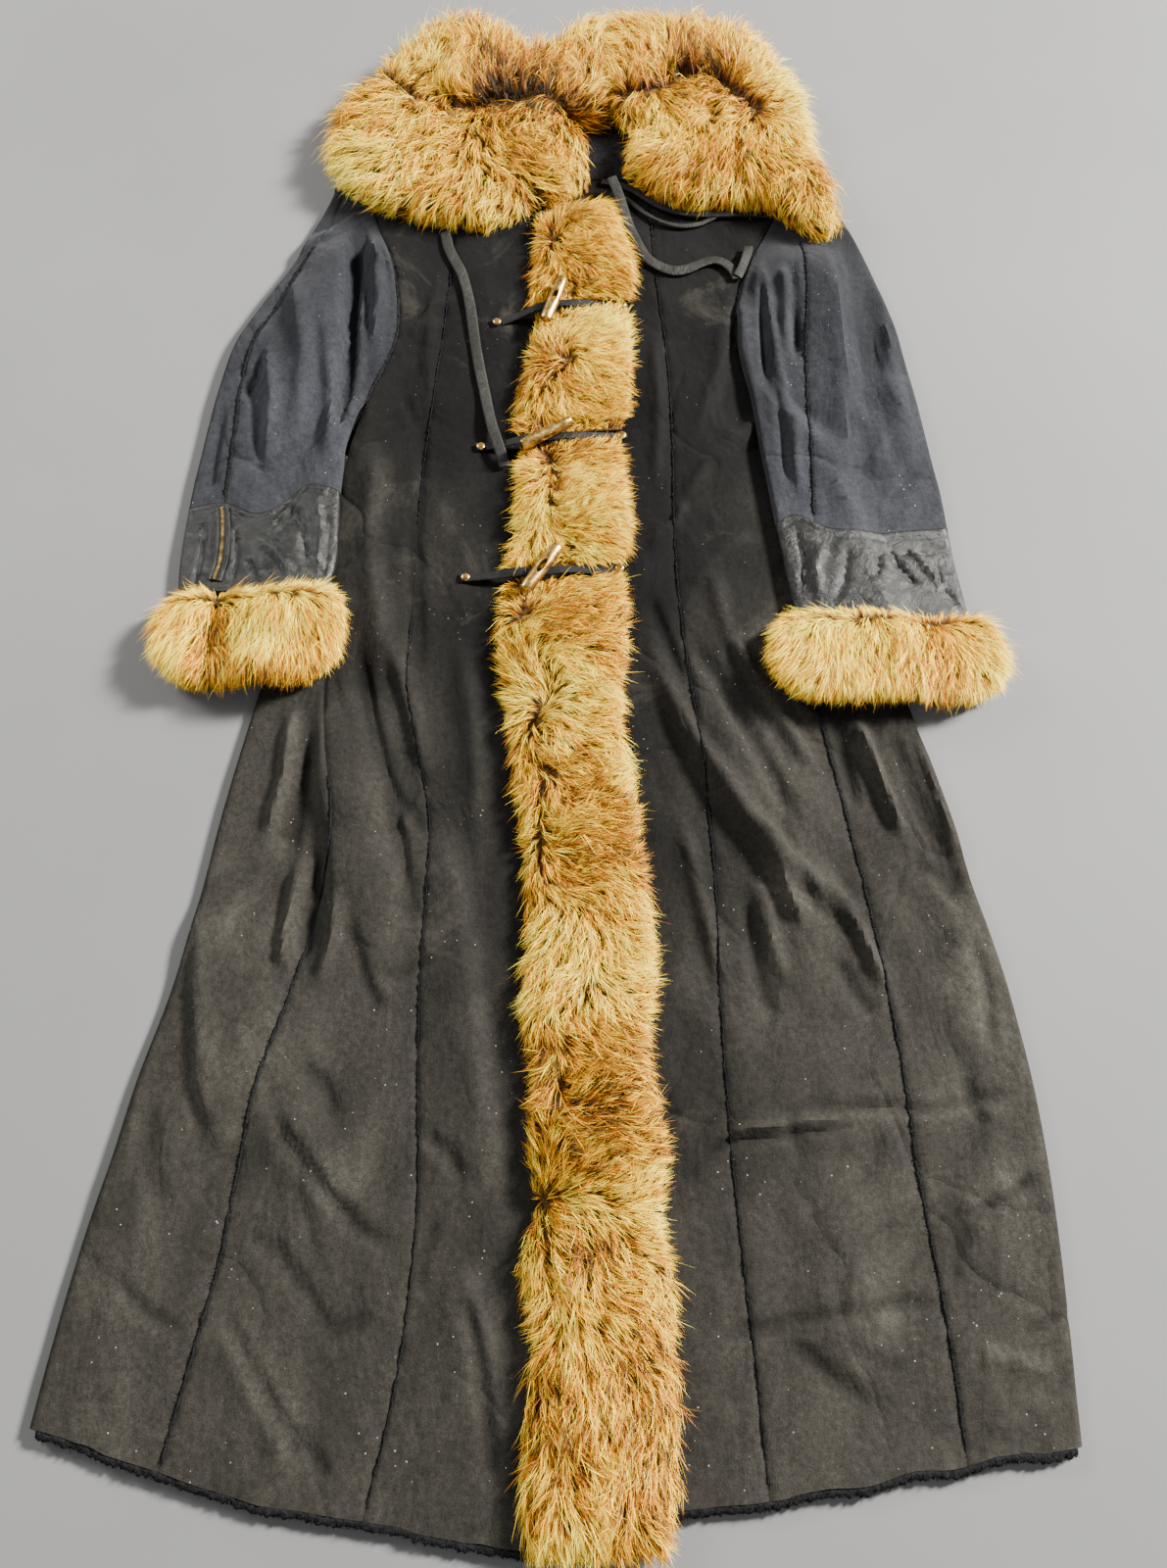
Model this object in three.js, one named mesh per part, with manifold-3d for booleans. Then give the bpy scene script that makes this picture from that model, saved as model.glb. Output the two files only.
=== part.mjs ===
// A long hooded coat of fleece-backed suede with fur trim, laid flat on its back with the toggles done up.
// Millimetres. +X is the wearer's left, +Y points to the hood, +Z is up, and the surface it lies on is z = 0.
// In every table, "down" is measured from the neck seam towards the hem, and the hood's is negative.
import * as THREE from "three";
import { mergeVertices } from "three/addons/utils/BufferGeometryUtils.js";
import Module from "manifold-3d";

const wasm = await Module();
wasm.setup();

// Driving sizes
const NECK_Y = 530; // neck seam's place on Y, which centres the coat on the origin
const CLOTH = 4; // suede with its fleece backing
const LEATHER = 2.4; // cuff leather with its lining
const SEAM_GAP = 0.3; // between neighbouring pieces
const CUFF_GAP = 0.6; // where the leather joins the suede
const CUFF_WAVE = 90; // how far along a sleeve the wave of that join dies out
const BODY_RISE = 9.5; // top of the front where it lies flat on the back
const SLEEVE_RISE = 9.5; // a flattened sleeve, from its under layer to its top
const FOLD_REACH = 7; // how far a side fold curves in from its edge
const SHOULDER_DOWN = 4; // top of the front panels at the neck
const SHOULDER_SLOPE = 0.04;
const UNDERARM_DOWN = 359;
const HEM_DOWN = 1255;
const FLEECE_FRINGE = 8; // raw fleece that shows past the suede at the hem
const HEM_BEND = 900; // below here the rows bend to the hem's dip
const SHOULDER_BEND = 90; // above here they bend to the shoulders' slope
const CALM_REACH = 62; // the front stays flat this near the placket's middle
const CALM_EASE = 34; // and its folds come in over this much more
const SLEEVE_END = 560; // below here no sleeve holds the front down
const SLEEVE_EASE = 110;
const SLEEVE_INSIDE = 125; // and above it the front is free this far out from the middle
const BACK_SEAM_HIGH = 0.93; // back seams' place at the underarm, as a share of the body's edge
const BACK_SEAM_LOW = 0.62; // and further down
const BACK_SEAM_EASE = 150;
const PLACKET_RISE = 23; // fur front band above the cloth
const HOOD_RISE = 36; // hood fur above the hood
const HOOD_BASE = 10; // underside of the hood fur where it lies on the hood and shoulders
const CUFF_RISE = 38; // fur cuff above what it lies on
const CUFF_ROUND = 18; // how far its sides curve in
const CUFF_SLIT = 3; // where the hand comes out, pressed nearly shut
const BODY_CLEAR = 10.4; // underside of a sleeve that lies over the body
const BODY_DROP = 25; // how far out from the body's edge a sleeve takes to reach the surface
const STRAP_WIDTH = 9;
const STRAP_THICK = 2;
const STRAP_ROOM = 7; // from a strap's middle to the fur beside it
const LIFT = 0.9; // underside of a strap or tie above the cloth it lies on
const TIE_WIDTH = 11;
const TIE_THICK = 2.4;
const RIVET_RADIUS = 4.2;
const STUD_RADIUS = 2.6;
const TOGGLE_LENGTH = 57;
const TOGGLE_RADIUS = 6.4;
const TOGGLE_FLAT = 0.85; // its height for its width
const TOGGLE_HEIGHT = 27.5; // its middle, on fur that it presses down
const TOGGLE_EYE_LONG = 8;
const TOGGLE_EYE_WIDE = 2.9;
const BINDING_WIDTH = 7;
const BINDING_THICK = 3.4;
const ZIP_WIDTH = 9;
const ZIP_THICK = 1.4;
const ZIP_LIFT = 0.7; // its underside above the leather
const PRESSED = 0.24; // height of the fur next to a toggle strap, as a share of its full height
const PRESS_REACH = 62; // how far along the fur that pressing goes

// Finishes: colour, roughness, metalness
const FINISHES = {
  suede: [0x3a3d42, 0.95, 0],
  leather: [0x2e302f, 0.42, 0],
  fur: [0xc4934f, 0.9, 0],
  brass: [0xb8924e, 0.35, 1],
  hood: [0x17181b, 0.95, 0],
};

// Seam lines of the wearer's right half: princess seam, side seam and the outer edge.
const RIGHT_HALF = [
  { down: 4, princess: -137, side: -226, edge: -226 },
  { down: 60, princess: -138, side: -220, edge: -220 },
  { down: 120, princess: -139, side: -201, edge: -201 },
  { down: 180, princess: -142, side: -192, edge: -192 },
  { down: 223, princess: -145, side: -194, edge: -194 },
  { down: 283, princess: -150, side: -214, edge: -214 },
  { down: 359, princess: -156, side: -232, edge: -242 },
  { down: 420, princess: -159, side: -236, edge: -258 },
  { down: 510, princess: -160, side: -238, edge: -276 },
  { down: 603, princess: -160, side: -236, edge: -293 },
  { down: 670, princess: -147, side: -229, edge: -306 },
  { down: 740, princess: -134, side: -218, edge: -318 },
  { down: 804, princess: -133, side: -224, edge: -327 },
  { down: 880, princess: -135, side: -240, edge: -341 },
  { down: 960, princess: -133, side: -262, edge: -361 },
  { down: 1030, princess: -129, side: -272, edge: -373 },
  { down: 1100, princess: -132, side: -279, edge: -386 },
  { down: 1170, princess: -140, side: -292, edge: -396 },
  { down: 1255, princess: -158, side: -308, edge: -407 },
];

// The same lines on the wearer's left half.
const LEFT_HALF = [
  { down: 4, princess: 72, side: 212, edge: 212 },
  { down: 60, princess: 73, side: 201, edge: 201 },
  { down: 120, princess: 75, side: 173, edge: 173 },
  { down: 180, princess: 80, side: 158, edge: 158 },
  { down: 223, princess: 84, side: 157, edge: 157 },
  { down: 283, princess: 87, side: 168, edge: 168 },
  { down: 359, princess: 88, side: 197, edge: 228 },
  { down: 420, princess: 87, side: 204, edge: 250 },
  { down: 510, princess: 89, side: 207, edge: 271 },
  { down: 603, princess: 97, side: 209, edge: 289 },
  { down: 670, princess: 105, side: 218, edge: 306 },
  { down: 740, princess: 110, side: 230, edge: 323 },
  { down: 804, princess: 113, side: 241, edge: 335 },
  { down: 880, princess: 113, side: 251, edge: 352 },
  { down: 960, princess: 115, side: 259, edge: 363 },
  { down: 1030, princess: 118, side: 262, edge: 367 },
  { down: 1100, princess: 123, side: 269, edge: 368 },
  { down: 1170, princess: 129, side: 275, edge: 367 },
  { down: 1255, princess: 134, side: 279, edge: 365 },
];

// How far down the hem lies across the coat: it dips to the middle.
const HEM_LINE = [
  { x: -408, down: 1206 },
  { x: -354, down: 1222 },
  { x: -280, down: 1244 },
  { x: -208, down: 1260 },
  { x: -102, down: 1275 },
  { x: 0, down: 1284 },
  { x: 64, down: 1262 },
  { x: 144, down: 1250 },
  { x: 234, down: 1238 },
  { x: 289, down: 1228 },
  { x: 365, down: 1218 },
];

// Folds of the front. Each runs along its path of [x, down] points; rise is its height, and outer and inner
// are its widths on the side that is left and right of the path when looking from the neck to the hem.
const BODY_FOLDS = [
  { path: [[-322, 800], [-318, 880], [-306, 958], [-278, 1030]], rise: 9, outer: 95, inner: 12 },
  { path: [[-236, 590], [-229, 700], [-216, 752], [-201, 850]], rise: 9, outer: 70, inner: 13 },
  { path: [[-126, 730], [-106, 830], [-84, 958], [-57, 1075]], rise: 11, outer: 16, inner: 60 },
  { path: [[-254, 973], [-181, 1061]], rise: 6, outer: 24, inner: 24 },
  { path: [[-276, 1130], [-242, 1176], [-194, 1235]], rise: 5, outer: 20, inner: 22 },
  { path: [[-94, 1082], [-81, 1123], [-70, 1200]], rise: 7, outer: 18, inner: 24 },
  { path: [[-196, 560], [-188, 700], [-176, 900]], rise: 6, outer: 26, inner: 34 },
  { path: [[70, 560], [143, 670], [232, 770]], rise: 7, outer: 34, inner: 30 },
  { path: [[98, 640], [172, 761], [205, 900]], rise: 7, outer: 26, inner: 30 },
  { path: [[317, 790], [327, 879], [315, 950]], rise: 6, outer: 20, inner: 24 },
  { path: [[95, 1006], [160, 999], [306, 984], [350, 990]], rise: 3.5, outer: 14, inner: 18 },
  { path: [[288, 1075], [340, 1045]], rise: 5, outer: 20, inner: 20 },
  { path: [[190, 1010], [200, 1100], [215, 1220]], rise: 5, outer: 34, inner: 34 },
];

// Sleeves: the inner edge, the raw seam on the top and the outer edge, row by row. rests is the height of
// what the inner edge lies on, puff how much fuller than flat the sleeve is.
const SLEEVES = {
  R: [
    { down: 12, inner: -228.5, seam: -258, outer: -271, rests: 0, puff: 0 },
    { down: 45, inner: -223.5, seam: -266, outer: -280, rests: 0, puff: 0 },
    { down: 83, inner: -215, seam: -275, outer: -293, rests: 0, puff: 2 },
    { down: 120, inner: -202, seam: -292, outer: -306, rests: 0, puff: 11 },
    { down: 180, inner: -193, seam: -312, outer: -337, rests: 0, puff: 14 },
    { down: 223, inner: -195, seam: -335, outer: -357, rests: 0, puff: 12 },
    { down: 280, inner: -215, seam: -344, outer: -368, rests: 0, puff: 9 },
    { down: 319, inner: -225, seam: -344, outer: -373, rests: BODY_CLEAR, puff: 8 },
    { down: 359, inner: -232.5, seam: -345, outer: -377, rests: BODY_CLEAR, puff: 7 },
    { down: 389, inner: -233, seam: -346, outer: -380, rests: BODY_CLEAR, puff: 6 },
    { down: 418, inner: -234, seam: -347, outer: -382, rests: BODY_CLEAR, puff: 5 },
  ],
  L: [
    { down: 44, inner: 207, seam: 226, outer: 274, rests: 0, puff: 0 },
    { down: 83, inner: 190, seam: 229, outer: 289, rests: 0, puff: 0 },
    { down: 122, inner: 174, seam: 232, outer: 301, rests: 0, puff: 10 },
    { down: 161, inner: 162, seam: 231, outer: 312, rests: 0, puff: 13 },
    { down: 201, inner: 158.5, seam: 228, outer: 321, rests: BODY_CLEAR, puff: 11 },
    { down: 241, inner: 158, seam: 225, outer: 327, rests: BODY_CLEAR, puff: 9 },
    { down: 300, inner: 167, seam: 223, outer: 335, rests: BODY_CLEAR, puff: 8 },
    { down: 360, inner: 173, seam: 221, outer: 342, rests: BODY_CLEAR, puff: 6 },
    { down: 400, inner: 178, seam: 220, outer: 347, rests: BODY_CLEAR, puff: 5 },
    { down: 446, inner: 183, seam: 219, outer: 350, rests: BODY_CLEAR, puff: 5 },
  ],
};

// Troughs and rolls in the sleeves' tops, as in BODY_FOLDS.
const SLEEVE_FOLDS = {
  R: [
    { path: [[-241, 85], [-239, 200], [-236, 330]], rise: -9, outer: 13, inner: 13 },
    { path: [[-216, 95], [-211, 170], [-222, 260]], rise: 6, outer: 12, inner: 14 },
    { path: [[-290, 120], [-285, 250], [-300, 380]], rise: 5, outer: 22, inner: 26 },
  ],
  L: [
    { path: [[252, 98], [253, 160], [248, 262], [257, 300], [284, 418]], rise: -6, outer: 15, inner: 15 },
    { path: [[176, 130], [178, 220], [190, 330]], rise: 7, outer: 16, inner: 16 },
    { path: [[300, 150], [306, 260], [318, 380]], rise: 5, outer: 20, inner: 22 },
  ],
};

// Where the sleeve cloth ends and the leather cuff starts, across the sleeve.
const CUFF_LINES = {
  R: [
    { x: -385, down: 422 },
    { x: -345, down: 417 },
    { x: -310, down: 430 },
    { x: -266, down: 403 },
    { x: -230, down: 409 },
  ],
  L: [
    { x: 180, down: 446 },
    { x: 202, down: 436 },
    { x: 232, down: 452 },
    { x: 275, down: 453 },
    { x: 352, down: 443 },
  ],
};

// Leather cuffs, as SLEEVES. crease carries on the line of the sleeve's raw seam.
const LEATHER_CUFFS = {
  R: [
    { down: 418, inner: -234, crease: -347, outer: -382, puff: 5 },
    { down: 450, inner: -232.5, crease: -344, outer: -383, puff: 7 },
    { down: 485, inner: -232, crease: -342, outer: -383, puff: 8 },
    { down: 515, inner: -237, crease: -345, outer: -381, puff: 8 },
  ],
  L: [
    { down: 446, inner: 183, crease: 219, outer: 350, puff: 5 },
    { down: 480, inner: 187, crease: 224, outer: 352, puff: 7 },
    { down: 512, inner: 191, crease: 229, outer: 356, puff: 8 },
    { down: 544, inner: 196, crease: 234, outer: 360, puff: 8 },
  ],
};

// Fur cuffs: their sides at each row, and swell, the share of their full thickness there.
const CUFF_FURS = {
  R: [
    { down: 515, inner: -231, outer: -374, swell: 0.62 },
    { down: 526, inner: -223, outer: -389, swell: 0.86 },
    { down: 545, inner: -219, outer: -396, swell: 1 },
    { down: 565, inner: -218, outer: -397, swell: 1 },
    { down: 586, inner: -222, outer: -391, swell: 0.96 },
    { down: 603, inner: -236, outer: -376, swell: 0.82 },
    { down: 614, inner: -256, outer: -350, swell: 0.5 },
  ],
  L: [
    { down: 544, inner: 184, outer: 366, swell: 0.62 },
    { down: 553, inner: 175, outer: 378, swell: 0.86 },
    { down: 568, inner: 170, outer: 384, swell: 1 },
    { down: 588, inner: 168, outer: 387, swell: 1 },
    { down: 606, inner: 173, outer: 382, swell: 0.94 },
    { down: 621, inner: 186, outer: 366, swell: 0.8 },
    { down: 631, inner: 206, outer: 334, swell: 0.5 },
  ],
};

// The fur front band: its sides, row by row.
const PLACKET = [
  { down: 38, right: -50, left: 30 },
  { down: 69, right: -50, left: 36 },
  { down: 141, right: -53, left: 54 },
  { down: 185, right: -53, left: 46 },
  { down: 236, right: -55, left: 48 },
  { down: 278, right: -62, left: 47 },
  { down: 335, right: -67, left: 42 },
  { down: 356, right: -65, left: 37 },
  { down: 448, right: -66, left: 45 },
  { down: 490, right: -75, left: 39 },
  { down: 557, right: -78, left: 40 },
  { down: 650, right: -67, left: 34 },
  { down: 692, right: -61, left: 41 },
  { down: 790, right: -49, left: 53 },
  { down: 856, right: -47, left: 59 },
  { down: 905, right: -53, left: 56 },
  { down: 936, right: -43, left: 52 },
  { down: 1018, right: -42, left: 65 },
  { down: 1061, right: -37, left: 59 },
  { down: 1092, right: -49, left: 66 },
  { down: 1149, right: -38, left: 68 },
  { down: 1244, right: -44, left: 67 },
  { down: 1290, right: -40, left: 61 },
];

const PLACKET_END = 1291;

// How many rows of points each length of the fur front band has
const PLACKET_ROWS = [6, 7, 7, 27];

// Toggles and their straps. Each strap row is level with the gap between two lengths of fur.
const TOGGLES = [
  { x: -30, down: 183, turn: 72, rivetR: [-89, 198], rivetL: [40, 176] },
  { x: -36, down: 347, turn: 31, rivetR: [-101, 351], rivetL: [38, 338] },
  { x: -39, down: 497, turn: 57, rivetR: [-111, 498], rivetL: [34, 488] },
];

const NECK_STRAP = [[-52, 57], [-25, 49], [2, 41], [30, 33]];
const STUDS = { R: [-47, 55.5], L: [-2, 42] };

// Hood ties, as [x, down, how much higher than the cloth they are carried]
const TIE_R = [
  [-147, 79], [-145, 90], [-142, 102], [-135, 118], [-128, 133], [-123, 150], [-119, 168], [-115, 193],
  [-111, 222], [-106, 252], [-100, 282], [-95, 308, 2], [-90, 331, 5.2], [-84, 352, 6],
  [-80, 364, 4.6], [-77, 375, 1],
];
const TIE_L = [
  [30, 16, 13], [36, 30, 9], [42, 48, 4], [48, 66, 0], [54, 84, 0], [60, 101, 0], [68, 115, 0],
  [80, 125, 0], [94, 131, 0], [108, 129, 0], [122, 122, 0], [134, 117, 0], [144, 118, 0], [152, 124, 0],
  [158, 133, 0], [161, 142, 0],
];

// The zip in the wearer's right cuff, and the binding at the lower edge of the hood's fur, as [x, down]
const ZIP = [[-347, 424], [-344, 440], [-342, 462], [-341.5, 484], [-345, 504]];
const BINDING = [
  [20, 9], [38, 13], [54, 22], [70, 35], [88, 47], [110, 54.5], [140, 55.5], [170, 55], [196, 56],
];

// Outline of each half of the hood's fur: base is the height of its underside, lip its thickness at the rim.
const HOOD_FURS = {
  R: {
    centre: [-140, -72],
    rim: [
      { x: 8, down: 14, base: 10, lip: 8 },
      { x: -16, down: 35, base: 10, lip: 6 },
      { x: -57, down: 51, base: 10, lip: 6 },
      { x: -98, down: 75, base: 10, lip: 6 },
      { x: -140, down: 71, base: 10, lip: 6 },
      { x: -181, down: 64, base: 10, lip: 6 },
      { x: -220, down: 49, base: 10, lip: 6 },
      { x: -252, down: 30, base: 10, lip: 6 },
      { x: -271, down: 0, base: 10, lip: 6 },
      { x: -280, down: -28, base: 1, lip: 10 },
      { x: -276, down: -76, base: 1, lip: 12 },
      { x: -257, down: -116, base: 1, lip: 12 },
      { x: -222, down: -157, base: 1, lip: 12 },
      { x: -192, down: -196, base: 1, lip: 12 },
      { x: -160, down: -224, base: 1, lip: 12 },
      { x: -127, down: -234, base: 1, lip: 12 },
      { x: -84, down: -208, base: 1, lip: 12 },
      { x: -37, down: -169, base: 1, lip: 12 },
      { x: -10, down: -200, base: 1, lip: 12 },
      { x: 21, down: -229, base: 1, lip: 14 },
      { x: 24.3, down: -190, base: 10, lip: 26 },
      { x: 24.3, down: -130, base: 10, lip: 26 },
      { x: 20, down: -88, base: 10, lip: 12 },
      { x: -16, down: -76, base: 10, lip: 8 },
      { x: 0, down: -38, base: 10, lip: 8 },
    ],
  },
  L: {
    centre: [148, -66],
    rim: [
      { x: 30, down: -88, base: 10, lip: 12 },
      { x: 25.3, down: -130, base: 10, lip: 26 },
      { x: 25.3, down: -190, base: 10, lip: 26 },
      { x: 28, down: -230, base: 1, lip: 14 },
      { x: 64, down: -232, base: 1, lip: 12 },
      { x: 108, down: -231, base: 1, lip: 12 },
      { x: 152, down: -222, base: 1, lip: 12 },
      { x: 192, down: -200, base: 1, lip: 12 },
      { x: 214, down: -160, base: 1, lip: 12 },
      { x: 238, down: -118, base: 1, lip: 12 },
      { x: 249, down: -72, base: 1, lip: 12 },
      { x: 248, down: -28, base: 1, lip: 10 },
      { x: 256, down: 10, base: 10, lip: 8 },
      { x: 266, down: 42, base: 10, lip: 6 },
      { x: 268, down: 72, base: 12, lip: 5 },
      { x: 254, down: 90, base: 13, lip: 5 },
      { x: 228, down: 76, base: 12, lip: 5 },
      { x: 196, down: 50, base: 10, lip: 6 },
      { x: 150, down: 49, base: 10, lip: 6 },
      { x: 108, down: 48, base: 10, lip: 6 },
      { x: 84, down: 38, base: 10, lip: 6 },
      { x: 62, down: 22, base: 10, lip: 6 },
      { x: 42, down: -2, base: 10, lip: 8 },
      { x: 53, down: -40, base: 10, lip: 8 },
      { x: 48, down: -60, base: 10, lip: 8 },
    ],
  },
};
const FUR_DROP = 18; // width of the fur that hangs over the hood's edge

// Outline of the hood under its fur
const HOOD_EDGE = [
  { x: -258, down: -30 },
  { x: -253, down: -72 },
  { x: -236, down: -105 },
  { x: -204, down: -140 },
  { x: -175, down: -178 },
  { x: -150, down: -202 },
  { x: -127, down: -209 },
  { x: -97, down: -189 },
  { x: -46, down: -145 },
  { x: 0, down: -156 },
  { x: 24, down: -160 },
  { x: 50, down: -176 },
  { x: 80, down: -206 },
  { x: 112, down: -208 },
  { x: 152, down: -199 },
  { x: 179, down: -181 },
  { x: 196, down: -149 },
  { x: 216, down: -112 },
  { x: 227, down: -72 },
  { x: 226, down: -33 },
  { x: 212, down: -10 },
  { x: 188, down: 2 },
  { x: 100, down: 3.4 },
  { x: 0, down: 3.4 },
  { x: -100, down: 3.4 },
  { x: -190, down: 2 },
  { x: -236, down: -8 },
];

// Valleys between the hood fur's rolls.
const HOOD_FOLDS = [
  { path: [[-215, -110], [-168, -96], [-130, -76], [-92, -84], [-50, -92]], rise: -15, outer: 20, inner: 22 },
  { path: [[70, -118], [100, -122], [140, -120], [176, -100]], rise: -16, outer: 18, inner: 22 },
  { path: [[-30, -160], [0, -118]], rise: -8, outer: 16, inner: 18 },
];

const yOf = (down) => NECK_Y - down;
const mix = (a, b, t) => a + (b - a) * t;
const clamp = (v, low, high) => Math.min(high, Math.max(low, v));
const smooth = (t) => {
  const s = clamp(t, 0, 1);
  return s * s * (3 - 2 * s);
};

// A smooth curve through one column of a table, read along another column.
function column(rows, by, key) {
  const last = rows.length - 1;
  const slopeAt = (i) => {
    const a = rows[Math.max(0, i - 1)];
    const b = rows[Math.min(last, i + 1)];
    return (b[key] - a[key]) / (b[by] - a[by]);
  };
  return (at) => {
    const t = clamp(at, rows[0][by], rows[last][by]);
    let i = 0;
    while (i < last - 1 && rows[i + 1][by] < t) i += 1;
    const span = rows[i + 1][by] - rows[i][by];
    const s = (t - rows[i][by]) / span;
    const rise = rows[i + 1][key] - rows[i][key];
    const near = slopeAt(i) * span;
    const far = slopeAt(i + 1) * span;
    const bend = 3 * rise - 2 * near - far;
    return rows[i][key] + s * (near + s * (bend + s * (near + far - 2 * rise)));
  };
}

// Height of one fold at a point: a soft bump across its path that fades out at both ends.
function foldRise(fold, x, down) {
  const { path } = fold;
  let best = { gap: Infinity, side: 1, along: 0 };
  for (let i = 0; i < path.length - 1; i += 1) {
    const [ax, ad] = path[i];
    const dx = path[i + 1][0] - ax;
    const dd = path[i + 1][1] - ad;
    const t = clamp(((x - ax) * dx + (down - ad) * dd) / (dx * dx + dd * dd), 0, 1);
    const gap = Math.hypot(x - ax - t * dx, down - ad - t * dd);
    if (gap < best.gap) {
      best = { gap, side: (x - ax) * dd - (down - ad) * dx, along: (i + t) / (path.length - 1) };
    }
  }
  const width = best.side > 0 ? fold.outer : fold.inner;
  const ends = smooth(best.along / 0.25) * smooth((1 - best.along) / 0.25);
  return fold.rise * ends * Math.exp(-((best.gap / width) ** 2) * 1.6);
}
const foldsAt = (folds, x, down) => folds.reduce((sum, fold) => sum + foldRise(fold, x, down), 0);

// Lines of the body
const signOf = { R: -1, L: 1 };
const line = {};
for (const [side, rows] of Object.entries({ R: RIGHT_HALF, L: LEFT_HALF })) {
  line[side] = {
    princess: column(rows, "down", "princess"),
    side: column(rows, "down", "side"),
    edge: column(rows, "down", "edge"),
  };
}
const hemDown = column(HEM_LINE, "x", "down");
const CUFF_JOINS = {
  R: { join: SLEEVES.R.at(-1).down, line: column(CUFF_LINES.R, "x", "down") },
  L: { join: SLEEVES.L.at(-1).down, line: column(CUFF_LINES.L, "x", "down") },
};
const placketRight = column(PLACKET, "down", "right");
const placketLeft = column(PLACKET, "down", "left");
const middleAt = (down) => (placketRight(down) + placketLeft(down)) / 2;

// Where a point of a body row really lies: the rows bend to the hem's dip and the shoulders' slope.
function bodyDown(x, down) {
  const toHem = smooth((down - HEM_BEND) / (HEM_DOWN - HEM_BEND));
  const toShoulder = smooth((SHOULDER_BEND - down) / SHOULDER_BEND);
  const slope = SHOULDER_SLOPE * Math.max(0, Math.abs(x) - 60);
  return down + toHem * (hemDown(x) + FLEECE_FRINGE - HEM_DOWN) + toShoulder * slope;
}

// Top of the front panels. Folds die out at the placket, and at the sleeves that lie on the front.
function bodyTop(x, down) {
  const fromPlacket = smooth((Math.abs(x - middleAt(down)) - CALM_REACH) / CALM_EASE);
  const belowSleeve = smooth((down - SLEEVE_END) / SLEEVE_EASE);
  const inFromSleeve = smooth((SLEEVE_INSIDE + 40 - Math.abs(x)) / 40);
  const open = fromPlacket * Math.max(belowSleeve, inFromSleeve);
  return BODY_RISE + open * Math.max(-0.6, foldsAt(BODY_FOLDS, x, down));
}

// Height of what a sleeve lies on: the body's top, or the surface beyond the body's edge.
function groundAt(side, rests, x, down) {
  const sign = signOf[side];
  const out = sign * (x - line[side].edge(down)) - 3;
  return rests * clamp(1 - out / BODY_DROP, 0, 1);
}

// A closed body between two grids of points, rows by columns. A ring's last column joins its first.
function closedGrid(outer, inner, ring = false) {
  const rows = outer.length;
  const cols = outer[0].length;
  const points = [...outer.flat(), ...inner.flat()];
  const at = (layer, r, c) => layer * rows * cols + r * cols + (c % cols);
  const faces = [];
  const quad = (a, b, c, d) => faces.push(a, b, c, a, c, d);
  const spans = ring ? cols : cols - 1;
  for (let r = 0; r < rows - 1; r += 1) {
    for (let c = 0; c < spans; c += 1) {
      quad(at(0, r, c), at(0, r, c + 1), at(0, r + 1, c + 1), at(0, r + 1, c));
      quad(at(1, r, c), at(1, r + 1, c), at(1, r + 1, c + 1), at(1, r, c + 1));
    }
    if (!ring) {
      quad(at(0, r, 0), at(0, r + 1, 0), at(1, r + 1, 0), at(1, r, 0));
      quad(at(0, r, cols - 1), at(1, r, cols - 1), at(1, r + 1, cols - 1), at(0, r + 1, cols - 1));
    }
  }
  for (let c = 0; c < spans; c += 1) {
    quad(at(0, 0, c), at(1, 0, c), at(1, 0, c + 1), at(0, 0, c + 1));
    quad(at(0, rows - 1, c), at(0, rows - 1, c + 1), at(1, rows - 1, c + 1), at(1, rows - 1, c));
  }
  return shell(points, faces);
}

// A geometry from points and faces, turned so that its faces point out.
function shell(points, faces) {
  let volume = 0;
  for (let i = 0; i < faces.length; i += 3) {
    const [a, b, c] = [points[faces[i]], points[faces[i + 1]], points[faces[i + 2]]];
    volume += a.dot(new THREE.Vector3().crossVectors(b, c));
  }
  const turned = volume < 0 ? [...faces].reverse() : faces;
  const geometry = new THREE.BufferGeometry();
  geometry.setAttribute("position", new THREE.Float32BufferAttribute(points.flatMap((p) => p.toArray()), 3));
  geometry.setIndex(turned);
  geometry.computeVertexNormals();
  return geometry;
}

const coat = new THREE.Group();

function addPiece(name, geometry, finish) {
  const [color, roughness, metalness] = FINISHES[finish];
  const piece = new THREE.Mesh(geometry, new THREE.MeshStandardMaterial({ color, roughness, metalness }));
  piece.name = name;
  coat.add(piece);
  return piece;
}

const spread = (from, to, parts) => Array.from({ length: parts + 1 }, (_, i) => mix(from, to, i / parts));

// Rows shared by every body panel, so that neighbouring edges run side by side.
const BODY_ROWS = [
  ...spread(SHOULDER_DOWN, UNDERARM_DOWN, 9),
  ...spread(UNDERARM_DOWN, 560, 3).slice(1),
  ...spread(560, HEM_DOWN, 14).slice(1),
];

// A front panel between two seam lines.
function frontPanel(from, to, columns) {
  const outer = [];
  const inner = [];
  for (const down of BODY_ROWS) {
    const a = Math.min(from(down), to(down)) + SEAM_GAP / 2;
    const b = Math.max(from(down), to(down)) - SEAM_GAP / 2;
    const xs = spread(a, b, columns);
    const tops = xs.map((x) => new THREE.Vector3(x, yOf(bodyDown(x, down)), bodyTop(x, down)));
    outer.push(tops);
    inner.push(tops.map((p) => new THREE.Vector3(p.x, p.y, p.z - CLOTH)));
  }
  return closedGrid(outer, inner);
}

// Points round a fold at x = edge, from the top layer to the under layer.
function foldArc(edge, sign, ground, top, thick, steps, reach = FOLD_REACH) {
  const high = (top - ground) / 2;
  const arc = [];
  for (let i = 1; i < steps; i += 1) {
    const angle = Math.PI / 2 - (Math.PI * i) / steps;
    const across = Math.cos(angle);
    const up = Math.sin(angle);
    arc.push({
      x: edge - sign * reach * (1 - across),
      z: ground + high + high * up,
      xIn: edge - sign * reach + sign * (reach - thick) * across,
      zIn: ground + high + (high - thick) * up,
    });
  }
  return arc;
}

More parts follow.
